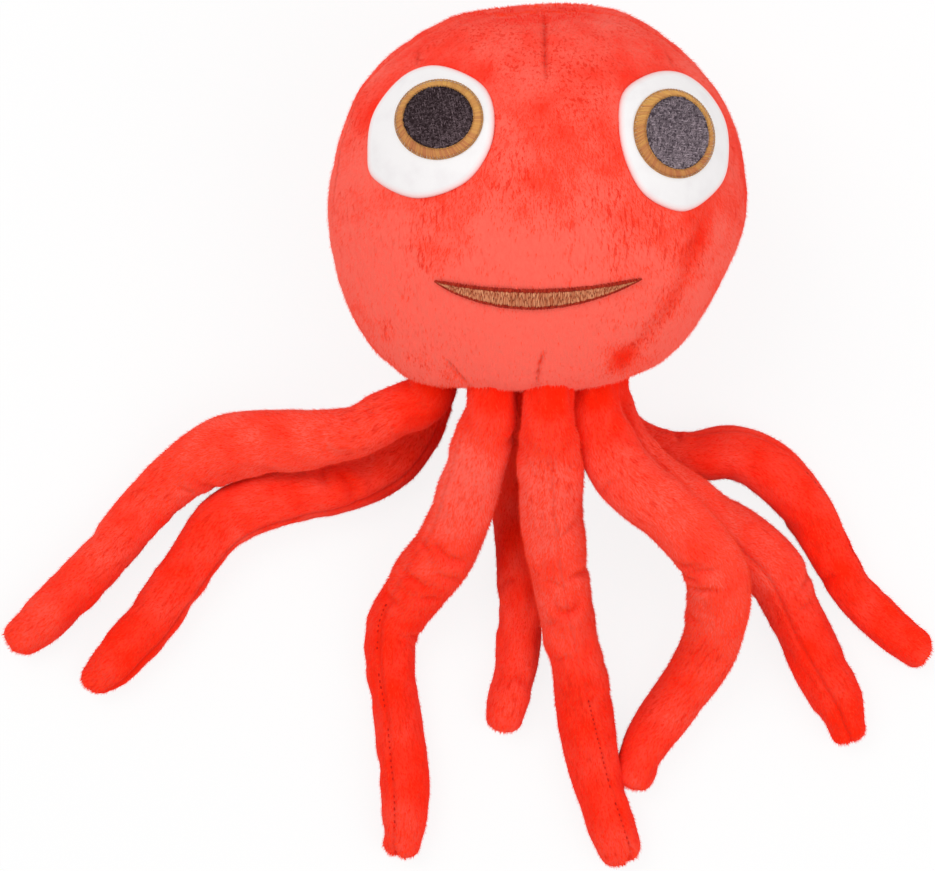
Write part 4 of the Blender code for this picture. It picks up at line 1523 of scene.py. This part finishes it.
def insideOf(rim, flats):
    # True where a point of the picture's plane is inside the closed line
    xs, ys = flats[:, 0], flats[:, 1]
    found = np.zeros(len(flats), bool)
    for a, b in zip(rim, rim[1:] + rim[:1]):
        crosses = (a.y > ys) != (b.y > ys)
        where = a.x + (ys - a.y) * (b.x - a.x) / (b.y - a.y if b.y != a.y else 1e-9)
        found ^= crosses & (xs < where)
    return found


def pileOnHead():
    mesh = headCover.data
    places, normals = coordsOf(mesh), normalsOf(mesh)
    flats = seenFlat(places)
    seenSide = normals[:, 2] > 0
    covered = np.zeros(len(places), bool)
    for rim in (*eyeRims, mouthRim):
        middle = sum(rim, Vector((0, 0))) / len(rim)
        inner = [p + (middle - p).normalized() * pile["fringe"] for p in rim]
        covered |= insideOf(inner, flats) & seenSide
    down = np.array(axis)
    nap = down - normals * (normals @ down)[:, None]
    writeAttribute(mesh, "nap", nap / np.maximum(np.linalg.norm(nap, axis=1, keepdims=True), 1e-6))
    writeAttribute(mesh, "pile", np.where(covered | (places[:, 2] < tableSide), 0.0, 1.0))


fibreObjects = [fibreMesh(look) for look in pileLooks]
pileOnHead()
headPile = scatter(headCover, "head_pile", pile["headDensity"], 3)
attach(headPile, "head")
print("head pile:", len(headPile.data.polygons), "fibres")
for seed, name in enumerate(arms):
    piece, path = armPieces[name]
    armPile = scatter(piece, name + "_arm_pile", pile["armDensity"], seed + 30)
    joinAtSeam(armPile, name, path)
    print("arm pile:", name, len(armPile.data.polygons), "fibres")
for fibre in fibreObjects:
    bpy.data.objects.remove(fibre)


# Floor, light and camera

studio = {"floor": 4.0, "floorColour": (0.97, 0.97, 0.97), "glow": 0.86, "world": 0.64}


def seenDirectly(w):
    # 1 for what the camera sees straight, in a mirror or through glass
    straight = w.node("ShaderNodeLightPath", None, None, "Is Camera Ray")
    return straight + straight.beside("Is Glossy Ray") + straight.beside("Is Transmission Ray")


def makeFloor():
    bm = bmesh.new()
    bmesh.ops.create_grid(bm, x_segments=1, y_segments=1, size=studio["floor"])
    look, shader, w = newLook("paleFloor", studio["floorColour"], 1.0, specular=0.0)
    shown = seenDirectly(w) * studio["glow"]
    white = w.node("ShaderNodeEmission", None, {"Color": (1, 1, 1, 1), "Strength": 1.0})
    lit = Wire(look.node_tree, shader.outputs[0])
    mixed = w.node("ShaderNodeMixShader", None, {0: shown, 1: lit, 2: white})
    out = next(n for n in look.node_tree.nodes if n.type == "OUTPUT_MATERIAL")
    look.node_tree.links.new(mixed.socket, out.inputs["Surface"])
    floor = newPiece("floor", bm, look)


def makeWorld():
    world = bpy.data.worlds.new("studio")
    bpy.context.scene.world = world
    world.use_nodes = True
    w = Wire(world.node_tree)
    soft = w.node("ShaderNodeBackground", None, {"Color": (1, 1, 1, 1), "Strength": studio["world"]})
    white = w.node("ShaderNodeBackground", None, {"Color": (1, 1, 1, 1), "Strength": 1.0})
    mixed = w.node("ShaderNodeMixShader", None, {0: seenDirectly(w), 1: soft, 2: white})
    out = next(n for n in world.node_tree.nodes if n.type == "OUTPUT_WORLD")
    world.node_tree.links.new(mixed.socket, out.inputs["Surface"])


lamps = {
    "key": {"place": (-0.7, 0.5, 1.5), "size": 0.9, "power": 8.5},
    "fill": {"place": (0.9, -0.5, 1.3), "size": 1.2, "power": 6.5},
}


def makeLamp(name):
    lamp = bpy.data.lights.new(name, "AREA")
    lamp.size = lamps[name]["size"]
    lamp.energy = lamps[name]["power"]
    made = addObject(name, lamp)
    made.location = lamps[name]["place"]
    made.rotation_euler = (Vector((0, -0.08, 0.05)) - made.location).to_track_quat("-Z", "Y").to_euler()


makeFloor()
makeWorld()
for name in lamps:
    makeLamp(name)
shot = bpy.data.cameras.new("camera")
shot.lens = camera["lens"]
shot.sensor_width = camera["sensor"]
shotPlace = addObject("camera", shot)
shotPlace.location = cameraPlace
bpy.context.scene.camera = shotPlace
bpy.context.scene.view_settings.view_transform = "Standard"
print("floor, lamps and camera are set")
